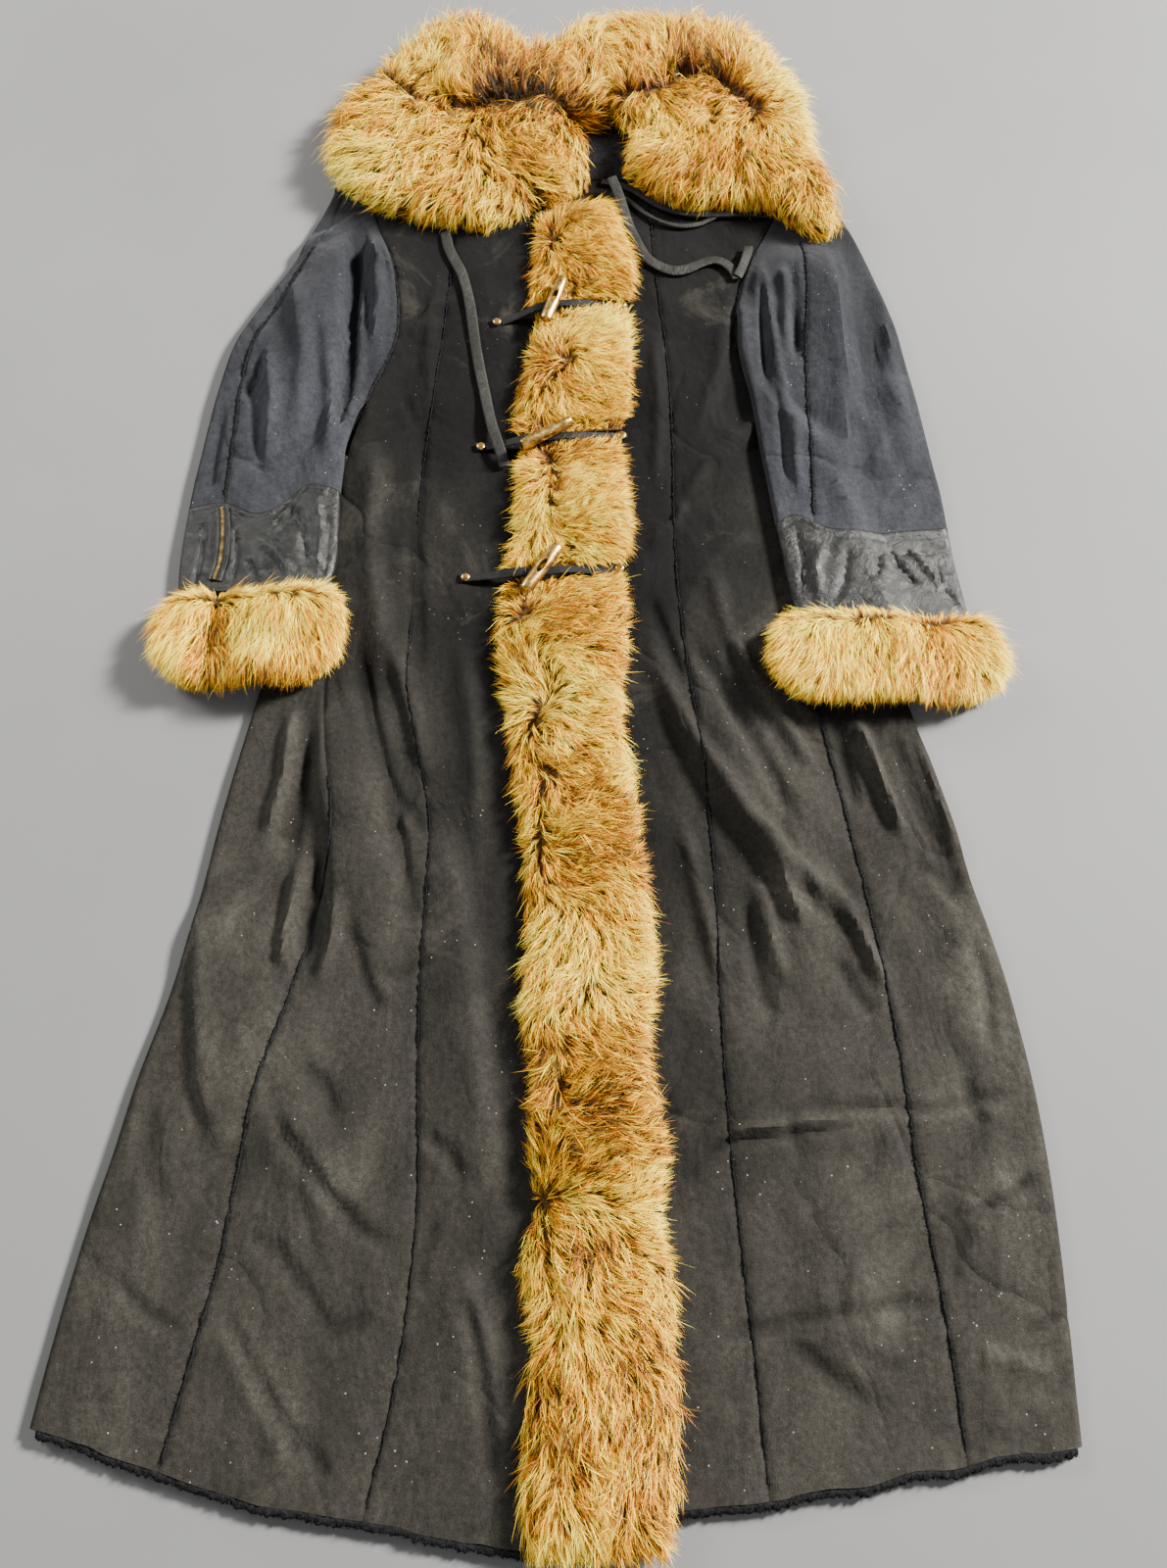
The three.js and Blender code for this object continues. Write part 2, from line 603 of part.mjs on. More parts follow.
// A side panel: from the side seam over the front, round the side fold and under to the back seam.
const backSeamAt = (side, down) => {
  const share = mix(BACK_SEAM_HIGH, BACK_SEAM_LOW, smooth((down - UNDERARM_DOWN) / BACK_SEAM_EASE));
  return line[side].edge(down) * share;
};
function sidePanel(side) {
  const sign = signOf[side];
  const outer = [];
  const inner = [];
  for (const down of BODY_ROWS.filter((d) => d >= UNDERARM_DOWN)) {
    const edge = line[side].edge(down);
    const bend = edge - sign * FOLD_REACH;
    const seam = line[side].side(down) + (sign * SEAM_GAP) / 2;
    const start = sign * Math.min(sign * seam, sign * (bend - sign * 1.5));
    const across = [];
    for (const x of spread(start, bend, 3)) {
      const top = bodyTop(x, down);
      across.push({ x, z: top, xIn: x, zIn: top - CLOTH });
    }
    across.push(...foldArc(edge, sign, 0, bodyTop(bend, down), CLOTH, 4));
    for (const x of spread(bend, backSeamAt(side, down) + (sign * SEAM_GAP) / 2, 1)) {
      across.push({ x, z: 0, xIn: x, zIn: CLOTH });
    }
    outer.push(across.map((p) => new THREE.Vector3(p.x, yOf(bodyDown(p.x, down)), p.z)));
    inner.push(across.map((p) => new THREE.Vector3(p.xIn, yOf(bodyDown(p.x, down)), p.zIn)));
  }
  return closedGrid(outer, inner);
}

// The back lies flat. Above the underarm it reaches the armholes, below it the side panels' seams.
function backPanel() {
  const outer = [];
  const inner = [];
  for (const down of BODY_ROWS) {
    const reach = (side) => {
      const sign = signOf[side];
      const seam = down >= UNDERARM_DOWN ? backSeamAt(side, down) : line[side].edge(down);
      return seam - (sign * SEAM_GAP) / 2;
    };
    const xs = spread(reach("R"), reach("L"), 4);
    outer.push(xs.map((x) => new THREE.Vector3(x, yOf(bodyDown(x, down)), 0)));
    inner.push(xs.map((x) => new THREE.Vector3(x, yOf(bodyDown(x, down)), CLOTH)));
  }
  return closedGrid(outer, inner);
}

addPiece("back", backPanel(), "suede");
for (const side of ["R", "L"]) {
  addPiece(`side_back_${side}`, sidePanel(side), "suede");
  addPiece(`side_front_${side}`, frontPanel(line[side].side, line[side].princess, 5), "suede");
  addPiece(`centre_front_${side}`, frontPanel(line[side].princess, middleAt, 5), "suede");
}

// Reads every column of a sleeve's or cuff's table at one row.
function rowReader(rows) {
  const read = {};
  for (const key of Object.keys(rows[0])) {
    if (key !== "down") read[key] = column(rows, "down", key);
  }
  return (down) => Object.fromEntries(Object.entries(read).map(([key, at]) => [key, at(down)]));
}

const readSleeve = { R: rowReader(SLEEVES.R), L: rowReader(SLEEVES.L) };

// A sleeve's row. Where it doesn't yet lie on the body, its inner edge is the armhole seam.
function sleeveRow(side, down) {
  const row = readSleeve[side](down);
  const armhole = line[side].edge(down) + signOf[side] * SEAM_GAP;
  const rests = clamp(row.rests, 0, BODY_CLEAR);
  const joined = rests < BODY_CLEAR - 0.01;
  return { ...row, rests, inner: joined ? armhole : row.inner };
}

// The places across the under layer, so that it steps down just past the body's edge.
function underPlaces(side, row, down, reach = FOLD_REACH) {
  const sign = signOf[side];
  const near = row.inner + sign * reach;
  const far = row.outer - sign * reach;
  const width = sign * (far - near);
  const edge = clamp(sign * (line[side].edge(down) + sign * 3 - near), 4, width - BODY_DROP - 12);
  const foot = near + sign * (edge + BODY_DROP);
  return { near, step: near + sign * edge, foot, seam: mix(foot, far, 0.5), far };
}

// Height of a sleeve's or leather cuff's top
function sleeveTop(side, row, x, down) {
  const share = clamp((x - row.inner) / (row.outer - row.inner), 0, 1);
  const full = row.puff * Math.sin(Math.PI * share) ** 0.7;
  const folds = smooth((down - 85) / 40) * smooth(share * 9) * foldsAt(SLEEVE_FOLDS[side], x, down);
  return groundAt(side, row.rests, x, down) + Math.max(SLEEVE_RISE + full + folds, 2 * CLOTH + 0.8);
}

// Where a point at a sleeve's end or a leather cuff's start really lies: the join waves across the sleeve.
function cuffDown(side, x, down) {
  const { join, line: at } = CUFF_JOINS[side];
  return down + (at(x) - join) * smooth(1 - Math.abs(down - join) / CUFF_WAVE);
}

// A row of wall points, each with its outer and inner place
function wallRow(across, downAt) {
  return {
    outer: across.map((p) => new THREE.Vector3(p.x, yOf(downAt(p.x)), p.z)),
    inner: across.map((p) => new THREE.Vector3(p.xIn, yOf(downAt(p.x)), p.zIn)),
  };
}

const wallOf = (rows, ring = false) => closedGrid(rows.map((r) => r.outer), rows.map((r) => r.inner), ring);

// Makers of single wall points on the top and under layers of a sleeve
function layers(side, row, down, thick) {
  const top = (x) => {
    const z = sleeveTop(side, row, x, down);
    return { x, z, xIn: x, zIn: z - thick };
  };
  const under = (x) => {
    const z = groundAt(side, row.rests, x, down);
    return { x, z, xIn: x, zIn: z + thick };
  };
  return { top, under };
}

const SLEEVE_ROWS = {
  R: [...BODY_ROWS.filter((d) => d <= UNDERARM_DOWN), 389, CUFF_JOINS.R.join - CUFF_GAP / 2],
  L: [...BODY_ROWS.filter((d) => d > 40 && d <= UNDERARM_DOWN), 402, CUFF_JOINS.L.join - CUFF_GAP / 2],
};

// One of the two pieces of a sleeve: the front one wraps the inner fold, the back one the outer fold.
function sleevePiece(side, part) {
  const sign = signOf[side];
  const half = (sign * SEAM_GAP) / 2;
  return wallOf(SLEEVE_ROWS[side].map((down) => {
    const row = sleeveRow(side, down);
    const places = underPlaces(side, row, down);
    const { top, under } = layers(side, row, down, CLOTH);
    let across;
    if (part === "front") {
      const arc = foldArc(row.inner, -sign, under(places.near).z, top(places.near).z, CLOTH, 4);
      const lower = [places.near, places.step, places.foot, places.seam - half];
      across = [...spread(row.seam - half, places.near, 5).map(top), ...arc, ...lower.map(under)];
    } else {
      const arc = foldArc(row.outer, sign, under(places.far).z, top(places.far).z, CLOTH, 4);
      const lower = [places.far, places.seam + half];
      across = [...spread(row.seam + half, places.far, 3).map(top), ...arc, ...lower.map(under)];
    }
    return wallRow(across, (x) => cuffDown(side, x, bodyDown(x, down)));
  }));
}

// The leather cuff is a flattened tube in line with the sleeve.
function leatherCuff(side) {
  const sign = signOf[side];
  const read = rowReader(LEATHER_CUFFS[side]);
  const [first, last] = [LEATHER_CUFFS[side][0].down, LEATHER_CUFFS[side].at(-1).down];
  return wallOf(spread(first + CUFF_GAP / 2, last - SEAM_GAP / 2, 4).map((down) => {
    const row = { ...read(down), rests: BODY_CLEAR };
    const places = underPlaces(side, row, down);
    const { top, under } = layers(side, row, down, LEATHER);
    const innerArc = foldArc(row.inner, -sign, under(places.near).z, top(places.near).z, LEATHER, 4);
    const outerArc = foldArc(row.outer, sign, under(places.far).z, top(places.far).z, LEATHER, 4);
    const across = [
      ...spread(places.far, row.crease, 3).map(top),
      ...spread(row.crease, places.near, 5).slice(1).map(top),
      ...innerArc,
      ...[places.near, places.step, places.foot, places.seam, places.far].map(under),
      ...outerArc.reverse(),
    ];
    return wallRow(across, (x) => cuffDown(side, x, down));
  }), true);
}

// A fur cuff is a thick flattened ring with rounded sides, and a slit where the hand comes out.
function furCuff(side) {
  const sign = signOf[side];
  const read = rowReader(CUFF_FURS[side]);
  const [first, last] = [CUFF_FURS[side][0].down, CUFF_FURS[side].at(-1).down];
  return wallOf(spread(first + SEAM_GAP / 2, last, 8).map((down) => {
    const row = { ...read(down), rests: BODY_CLEAR };
    const places = underPlaces(side, row, down, CUFF_ROUND);
    const high = CUFF_RISE * row.swell;
    const slitHigh = high * 0.42;
    const top = (x) => {
      const share = clamp((x - places.near) / (places.far - places.near), 0, 1);
      const ground = groundAt(side, row.rests, x, down);
      const z = ground + high * (0.9 + 0.1 * Math.sin(Math.PI * share));
      return { x, z, xIn: x, zIn: ground + slitHigh + CUFF_SLIT };
    };
    const under = (x) => {
      const ground = groundAt(side, row.rests, x, down);
      return { x, z: ground, xIn: x, zIn: ground + slitHigh };
    };
    const round = (edge, way) => {
      const bend = edge - way * CUFF_ROUND;
      const [low, tip] = [under(bend).z, top(bend).z];
      return foldArc(edge, way, low, tip, 0, 5, CUFF_ROUND).map((p) => {
        const shareUp = (p.z - low) / (tip - low);
        return { ...p, xIn: bend, zIn: mix(under(bend).zIn, top(bend).zIn, shareUp) };
      });
    };
    const across = [
      ...spread(places.far, places.near, 8).map(top),
      ...round(row.inner, -sign),
      ...[places.near, places.step, places.foot, places.far].map(under),
      ...round(row.outer, sign).reverse(),
    ];
    return wallRow(across, () => down);
  }), true);
}

for (const side of ["R", "L"]) {
  addPiece(`sleeve_front_${side}`, sleevePiece(side, "front"), "suede");
  addPiece(`sleeve_back_${side}`, sleevePiece(side, "back"), "suede");
  addPiece(`leather_cuff_${side}`, leatherCuff(side), "leather");
  addPiece(`cuff_fur_${side}`, furCuff(side), "fur");
}

// How far down a line of straps lies at x
function strapDown(route, x) {
  const row = [...route].sort((a, b) => a[0] - b[0]);
  const [low, high] = [row[0][0], row.at(-1)[0]];
  const at = clamp(x, low, high);
  const i = row.findIndex((p, k) => k > 0 && p[0] >= at);
  return mix(row[i - 1][1], row[i][1], (at - row[i - 1][0]) / (row[i][0] - row[i - 1][0]));
}
const strapRoute = (row) => [row.rivetR, [row.x, row.down], row.rivetL];

// One length of the fur front band: a low rounded pelt, pressed down next to the toggle straps.
function placketRun(index) {
  const above = index === 0 ? NECK_STRAP : strapRoute(TOGGLES[index - 1]);
  const below = index < TOGGLES.length ? strapRoute(TOGGLES[index]) : null;
  const base = BODY_RISE + SEAM_GAP;
  const startAt = (x) => strapDown(above, x) + STRAP_ROOM;
  const endAt = (x) => (below ? strapDown(below, x) - STRAP_ROOM : PLACKET_END);
  const pressed = (gap) => mix(PRESSED, 1, smooth((gap + 4) / PRESS_REACH));
  const rounded = (gap) => 0.2 + 0.8 * Math.sqrt(smooth(gap / 26));
  return wallOf(spread(0, 1, PLACKET_ROWS[index]).map((share) => {
    const outer = [];
    const inner = [];
    for (const t of spread(0, 1, 8)) {
      const middleDown = mix(startAt(0), endAt(0), share);
      const x = mix(placketRight(middleDown), placketLeft(middleDown), t);
      const down = mix(startAt(x), endAt(x), share);
      const atStart = index === 0 ? rounded(down - startAt(x)) : pressed(down - startAt(x));
      const atEnd = below ? pressed(endAt(x) - down) : rounded(endAt(x) - down);
      const crown = (1 - Math.abs(2 * t - 1) ** 2.6) ** 0.6;
      const rise = PLACKET_RISE * Math.min(atStart, atEnd);
      outer.push(new THREE.Vector3(x, yOf(down), base + 2 + (rise - 2) * crown));
      inner.push(new THREE.Vector3(x, yOf(down), base));
    }
    return { outer, inner };
  }));
}
PLACKET_ROWS.forEach((_, i) => addPiece(`placket_fur_${i + 1}`, placketRun(i), "fur"));

// A closed curve through an outline's rows, read at an even number of places. Every column is carried along.
function rimPlaces(rows, count) {
  const knots = rows.length;
  const places = [];
  for (let i = 0; i < count; i += 1) {
    const at = (i * knots) / count;
    const k = Math.floor(at);
    const t = at - k;
    const [p0, p1, p2, p3] = [-1, 0, 1, 2].map((step) => rows[(k + step + knots) % knots]);
    const curve = (key) => {
      const near = (p2[key] - p0[key]) / 2;
      const far = (p3[key] - p1[key]) / 2;
      const rise = p2[key] - p1[key];
      return p1[key] + t * (near + t * (3 * rise - 2 * near - far + t * (near + far - 2 * rise)));
    };
    const between = (key) => mix(p1[key], p2[key], t);
    places.push({ x: curve("x"), down: curve("down"), base: between("base"), lip: between("lip") });
  }
  return places;
}

// A rounded body from rings about a middle, closed by a fan at the top and at the bottom.
function domed(middleTop, ringsTop, middleUnder, ringsUnder) {
  const count = ringsTop[0].length;
  const rings = [...ringsTop, ...ringsUnder];
  const points = [middleTop, middleUnder, ...rings.flat()];
  const at = (r, c) => 2 + r * count + (c % count);
  const faces = [];
  for (let c = 0; c < count; c += 1) {
    faces.push(0, at(0, c), at(0, c + 1));
    faces.push(1, at(rings.length - 1, c + 1), at(rings.length - 1, c));
    for (let r = 0; r < rings.length - 1; r += 1) {
      faces.push(at(r, c), at(r + 1, c), at(r + 1, c + 1), at(r, c), at(r + 1, c + 1), at(r, c + 1));
    }
  }
  return shell(points, faces);
}

// One half of the hood's fur. Past the hood's own edge it hangs down to the surface.
function hoodFur(side) {
  const { centre, rim } = HOOD_FURS[side];
  const places = rimPlaces(rim, 44);
  const [cx, cd] = centre;
  const crownAt = (x, down) => HOOD_RISE + Math.max(-20, foldsAt(HOOD_FOLDS, x, down));
  const topRing = (share) => places.map((p) => {
    const x = mix(cx, p.x, share);
    const down = mix(cd, p.down, share);
    const round = Math.sqrt(Math.max(0, 1 - share ** 5));
    const z = mix(p.base + p.lip, HOOD_BASE + crownAt(x, down), round);
    return new THREE.Vector3(x, yOf(down), z);
  });
  const underRing = (inset, atBase) => places.map((p) => {
    const length = Math.hypot(p.x - cx, p.down - cd);
    const share = 1 - inset / length;
    const z = atBase ? p.base : HOOD_BASE;
    return new THREE.Vector3(mix(cx, p.x, share), yOf(mix(cd, p.down, share)), z);
  });
  const tops = [0.3, 0.55, 0.75, 0.88, 0.96, 1].map(topRing);
  const unders = [underRing(0, true), underRing(FUR_DROP - 1.5, true), underRing(FUR_DROP, false)];
  const middle = (z) => new THREE.Vector3(cx, yOf(cd), z);
  return domed(middle(HOOD_BASE + crownAt(cx, cd)), tops, middle(HOOD_BASE), unders);
}

// The hood itself, folded flat under its fur, with a hollow at the neck.
function hoodForm() {
  const places = rimPlaces(HOOD_EDGE.map((p) => ({ ...p, base: 0, lip: 0 })), 40);
  const [mx, md] = [20, -92];
  const ring = (share, z) => places.map((p) => {
    return new THREE.Vector3(mix(mx, p.x, share), yOf(mix(md, p.down, share)), z);
  });
  const high = HOOD_BASE - SEAM_GAP;
  const tops = [ring(0.24, 6), ring(0.42, high), ring(0.98, high), ring(1, high / 2)];
  const centre = (z) => new THREE.Vector3(mx, yOf(md), z);
  return domed(centre(5), tops, centre(0), [ring(0.985, 0)]);
}

addPiece("hood", hoodForm(), "hood");
addPiece("hood_fur_R", hoodFur("R"), "fur");
addPiece("hood_fur_L", hoodFur("L"), "fur");

// A flat strip along a route, with its width level and its thickness up.
function strip(route, width, thick) {
  const outer = [];
  const inner = [];
  route.forEach((p, i) => {
    const before = route[Math.max(0, i - 1)];
    const after = route[Math.min(route.length - 1, i + 1)];
    const way = new THREE.Vector3(after.x - before.x, after.y - before.y, 0).normalize();
    const across = new THREE.Vector3(-way.y, way.x, 0).multiplyScalar(width / 2);
    const edges = [-1, 1].map((s) => p.clone().addScaledVector(across, s));
    outer.push(edges.map((q) => new THREE.Vector3(q.x, q.y, q.z + thick / 2)));
    inner.push(edges.map((q) => new THREE.Vector3(q.x, q.y, q.z - thick / 2)));
  });
  return closedGrid(outer, inner);
}

// A point of a strip on the front, from its place and how much further up it is
const onCloth = ([x, down, extra = 0], thick) => {
  return new THREE.Vector3(x, yOf(down), bodyTop(x, down) + LIFT + thick / 2 + extra);
};

// Cuts one closed geometry out of another.
function cutOut(geometry, cutter) {
  const [body, tool] = [geometry, cutter].map((g) => {
    const plain = g.clone();
    plain.deleteAttribute("normal");
    plain.deleteAttribute("uv");
    const merged = mergeVertices(plain, 1e-4);
    return new wasm.Manifold(new wasm.Mesh({
      numProp: 3,
      vertProperties: new Float32Array(merged.attributes.position.array),
      triVerts: new Uint32Array(merged.index.array),
    }));
  });
  const cut = body.subtract(tool).getMesh();
  const result = new THREE.BufferGeometry();
  result.setAttribute("position", new THREE.Float32BufferAttribute(cut.vertProperties, 3));
  result.setIndex([...cut.triVerts]);
  result.computeVertexNormals();
  return result;
}

// A horn-shaped toggle: a slightly swollen bar with blunt ends and an oval eye through its middle.
function toggleForm() {
  const half = TOGGLE_LENGTH / 2;
  const profile = [
    [0, -half],
    [TOGGLE_RADIUS * 0.72, -half + 0.4],
    [TOGGLE_RADIUS * 0.86, -half + 2.4],
    [TOGGLE_RADIUS, -half * 0.35],
    [TOGGLE_RADIUS, half * 0.35],
    [TOGGLE_RADIUS * 0.86, half - 2.4],
    [TOGGLE_RADIUS * 0.72, half - 0.4],
    [0, half],
  ];
  const bar = new THREE.LatheGeometry(profile.map(([r, at]) => new THREE.Vector2(r, at)), 12);
  bar.rotateZ(-Math.PI / 2);
  bar.scale(1, 1, TOGGLE_FLAT);
  const eye = new THREE.Shape().absellipse(0, 0, TOGGLE_EYE_LONG, TOGGLE_EYE_WIDE, 0, 2 * Math.PI);
  const depth = 4 * TOGGLE_RADIUS;
  const cutter = new THREE.ExtrudeGeometry(eye, { depth, bevelEnabled: false, curveSegments: 5 });
  cutter.translate(0, 0, -depth / 2);
  return cutOut(bar, cutter);
}

// A domed rivet head on a strap end.
function rivetForm(radius) {
  const profile = [[0, 0], [radius, 0], [radius, 0.5], [radius * 0.7, 1.3], [0, 1.6]];
  const head = new THREE.LatheGeometry(profile.map(([r, up]) => new THREE.Vector2(r, up)), 12);
  return head.rotateX(Math.PI / 2);
}

function addRivet(name, [x, down], height, radius) {
  const rivet = addPiece(name, rivetForm(radius), "brass");
  rivet.position.set(x, yOf(down), height);
}

// Each toggle lies on the pressed fur. A strap comes in from each side, and they meet under its eye.
TOGGLES.forEach((row, i) => {
  const toggle = addPiece(`toggle_${i + 1}`, toggleForm(), "brass");
  const middle = new THREE.Vector3(row.x, yOf(row.down), TOGGLE_HEIGHT);
  toggle.position.copy(middle);
  toggle.rotation.z = THREE.MathUtils.degToRad(row.turn);
  for (const [side, rivet] of [["R", row.rivetR], ["L", row.rivetL]]) {
    const low = BODY_RISE + SEAM_GAP + STRAP_THICK / 2;
    const end = new THREE.Vector3(rivet[0], yOf(rivet[1]), low);
    const route = [];
    const way = middle.clone().sub(end).setZ(0);
    const length = way.length() - 1;
    const high = TOGGLE_HEIGHT - TOGGLE_FLAT * TOGGLE_RADIUS - SEAM_GAP - STRAP_THICK / 2;
    way.normalize();
    for (const along of [-5, 4, length * 0.35, length * 0.6, length * 0.8, length]) {
      const lift = (high - low) * smooth((along - 6) / (length * 0.8 - 6));
      route.push(end.clone().addScaledVector(way, along).setZ(low + lift));
    }
    addPiece(`strap_${side}_${i + 1}`, strip(route, STRAP_WIDTH, STRAP_THICK), "leather");
    addRivet(`rivet_${side}_${i + 1}`, rivet, low + STRAP_THICK / 2 + SEAM_GAP, RIVET_RADIUS);
  }
});

// Straps and ties of leather
const neckRise = BODY_RISE + LIFT + STRAP_THICK / 2;
const neckRoute = NECK_STRAP.map(([x, down]) => new THREE.Vector3(x, yOf(down), neckRise));
addPiece("neck_strap", strip(neckRoute, STRAP_WIDTH, STRAP_THICK), "leather");
for (const [side, place] of Object.entries(STUDS)) {
  addRivet(`stud_${side}`, place, neckRise + STRAP_THICK / 2 + SEAM_GAP, STUD_RADIUS);
}
const onFront = (rows, width, thick) => strip(rows.map((p) => onCloth(p, thick)), width, thick);
addPiece("tie_R", onFront(TIE_R, TIE_WIDTH, TIE_THICK), "leather");
addPiece("tie_L", onFront(TIE_L, TIE_WIDTH, TIE_THICK), "leather");
addPiece("hood_binding_L", onFront(BINDING, BINDING_WIDTH, BINDING_THICK), "leather");

// The zip is let into the top of the wearer's right leather cuff.
const readCuff = rowReader(LEATHER_CUFFS.R);
const zipRoute = ZIP.map(([x, down]) => {
  const row = { ...readCuff(down), rests: BODY_CLEAR };
  const top = sleeveTop("R", row, x, down);
  return new THREE.Vector3(x, yOf(down), top + ZIP_LIFT + ZIP_THICK / 2);
});
addPiece("zip_R", strip(zipRoute, ZIP_WIDTH, ZIP_THICK), "brass");

export default coat;
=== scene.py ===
import math

import bpy
import numpy as np
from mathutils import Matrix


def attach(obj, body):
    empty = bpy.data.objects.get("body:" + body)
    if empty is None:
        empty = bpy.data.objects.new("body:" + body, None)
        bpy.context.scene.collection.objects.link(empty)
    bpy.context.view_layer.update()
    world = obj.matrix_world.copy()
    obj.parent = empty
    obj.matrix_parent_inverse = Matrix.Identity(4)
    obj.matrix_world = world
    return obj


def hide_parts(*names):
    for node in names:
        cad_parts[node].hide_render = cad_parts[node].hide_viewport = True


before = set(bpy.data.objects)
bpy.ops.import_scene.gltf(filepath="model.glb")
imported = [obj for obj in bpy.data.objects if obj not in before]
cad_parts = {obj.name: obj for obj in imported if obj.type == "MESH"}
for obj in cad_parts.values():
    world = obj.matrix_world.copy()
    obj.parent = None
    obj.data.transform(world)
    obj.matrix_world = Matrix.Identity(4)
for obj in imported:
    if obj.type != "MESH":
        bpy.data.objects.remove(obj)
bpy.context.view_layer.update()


def addObject(name, data):
    made = bpy.data.objects.new(name, data)
    bpy.context.scene.collection.objects.link(made)
    return made


# Camera
cameraLook = {"place": (0.0, -0.5355, 0.98), "tiltDegrees": 20.4, "lensMillimetres": 27.0}


def makeCamera(look):
    data = bpy.data.cameras.new("camera")
    data.sensor_width = 36.0
    data.lens = look["lensMillimetres"]
    camera = addObject("camera", data)
    camera.location = look["place"]
    camera.rotation_euler = (math.radians(look["tiltDegrees"]), 0.0, 0.0)
    bpy.context.scene.camera = camera


makeCamera(cameraLook)
print("camera made")


# Numbers and curves
neckY = 530.0
bodyClear = 10.4


def yOf(down):
    return neckY - down


def mix(a, b, share):
    return a + (b - a) * share


def smooth(t):
    t = np.clip(t, 0.0, 1.0)
    return t * t * (3.0 - 2.0 * t)


def unit(rows):
    return rows / np.maximum(np.linalg.norm(rows, axis=-1, keepdims=True), 1e-6)


def sideOf(way):
    return np.stack([-way[:, 1], way[:, 0], np.zeros(len(way))], axis=1)


def table(names, rows):
    columns = np.array(rows, dtype=float).T
    return dict(zip(names.split(), columns))


# A smooth curve through one column of a table, read along another column
def curve(places, values):
    slopes = np.empty_like(values)
    slopes[1:-1] = (values[2:] - values[:-2]) / (places[2:] - places[:-2])
    slopes[0] = (values[1] - values[0]) / (places[1] - places[0])
    slopes[-1] = (values[-1] - values[-2]) / (places[-1] - places[-2])

    def read(at):
        t = np.clip(at, places[0], places[-1])
        i = np.clip(np.searchsorted(places, t) - 1, 0, len(places) - 2)
        span = places[i + 1] - places[i]
        s = (t - places[i]) / span
        rise = values[i + 1] - values[i]
        near = slopes[i] * span
        far = slopes[i + 1] * span
        bend = 3 * rise - 2 * near - far
        return values[i] + s * (near + s * (bend + s * (near + far - 2 * rise)))

    return read


# Even, seeded noise from -1 to 1 over the plane, with lumps of the given size
def softNoise(x, down, size, seed):
    lattice = np.random.default_rng(seed).random((64, 64))
    u = np.asarray(x) / size + 500.0
    v = np.asarray(down) / size + 500.0
    i = np.floor(u).astype(int)
    j = np.floor(v).astype(int)
    s = smooth(u - i)
    t = smooth(v - j)
    low = mix(lattice[i % 64, j % 64], lattice[(i + 1) % 64, j % 64], s)
    high = mix(lattice[i % 64, (j + 1) % 64], lattice[(i + 1) % 64, (j + 1) % 64], s)
    return 2.0 * mix(low, high, t) - 1.0


# Shape of the coat, with the same seams, edges and folds as its solids
rightHalf = table("down princess side edge", [
    (4, -137, -226, -226), (60, -138, -220, -220), (120, -139, -201, -201), (180, -142, -192, -192),
    (223, -145, -194, -194), (283, -150, -214, -214), (359, -156, -232, -242), (420, -159, -236, -258),
    (510, -160, -238, -276), (603, -160, -236, -293), (670, -147, -229, -306), (740, -134, -218, -318),
    (804, -133, -224, -327), (880, -135, -240, -341), (960, -133, -262, -361), (1030, -129, -272, -373),
    (1100, -132, -279, -386), (1170, -140, -292, -396), (1255, -158, -308, -407),
])
leftHalf = table("down princess side edge", [
    (4, 72, 212, 212), (60, 73, 201, 201), (120, 75, 173, 173), (180, 80, 158, 158), (223, 84, 157, 157),
    (283, 87, 168, 168), (359, 88, 197, 228), (420, 87, 204, 250), (510, 89, 207, 271),
    (603, 97, 209, 289), (670, 105, 218, 306), (740, 110, 230, 323), (804, 113, 241, 335),
    (880, 113, 251, 352), (960, 115, 259, 363), (1030, 118, 262, 367), (1100, 123, 269, 368),
    (1170, 129, 275, 367), (1255, 134, 279, 365),
])
hemLine = table("x down", [
    (-408, 1206), (-354, 1222), (-280, 1244), (-208, 1260), (-102, 1275), (0, 1284), (64, 1262),
    (144, 1250), (234, 1238), (289, 1228), (365, 1218),
])
placketEdges = table("down right left", [
    (38, -50, 30), (69, -50, 36), (141, -53, 54), (185, -53, 46), (236, -55, 48), (278, -62, 47),
    (335, -67, 42), (356, -65, 37), (448, -66, 45), (490, -75, 39), (557, -78, 40), (650, -67, 34),
    (692, -61, 41), (790, -49, 53), (856, -47, 59), (905, -53, 56), (936, -43, 52), (1018, -42, 65),
    (1061, -37, 59), (1092, -49, 66), (1149, -38, 68), (1244, -44, 67), (1290, -40, 61),
])
sleeves = {
    "R": table("down inner seam outer rests puff", [
        (12, -228.5, -258, -271, 0, 0), (45, -223.5, -266, -280, 0, 0), (83, -215, -275, -293, 0, 2),
        (120, -202, -292, -306, 0, 11), (180, -193, -312, -337, 0, 14), (223, -195, -335, -357, 0, 12),
        (280, -215, -344, -368, 0, 9), (319, -225, -344, -373, bodyClear, 8),
        (359, -232.5, -345, -377, bodyClear, 7), (389, -233, -346, -380, bodyClear, 6),
        (418, -234, -347, -382, bodyClear, 5),
    ]),
    "L": table("down inner seam outer rests puff", [
        (44, 207, 226, 274, 0, 0), (83, 190, 229, 289, 0, 0), (122, 174, 232, 301, 0, 10),
        (161, 162, 231, 312, 0, 13), (201, 158.5, 228, 321, bodyClear, 11),
        (241, 158, 225, 327, bodyClear, 9), (300, 167, 223, 335, bodyClear, 8),
        (360, 173, 221, 342, bodyClear, 6), (400, 178, 220, 347, bodyClear, 5),
        (446, 183, 219, 350, bodyClear, 5),
    ]),
}
cuffLines = {
    "R": table("x down", [
        (-385, 422), (-345, 417), (-310, 430), (-266, 403), (-230, 409),
    ]),
    "L": table("x down", [
        (180, 446), (202, 436), (232, 452), (275, 453), (352, 443),
    ]),
}
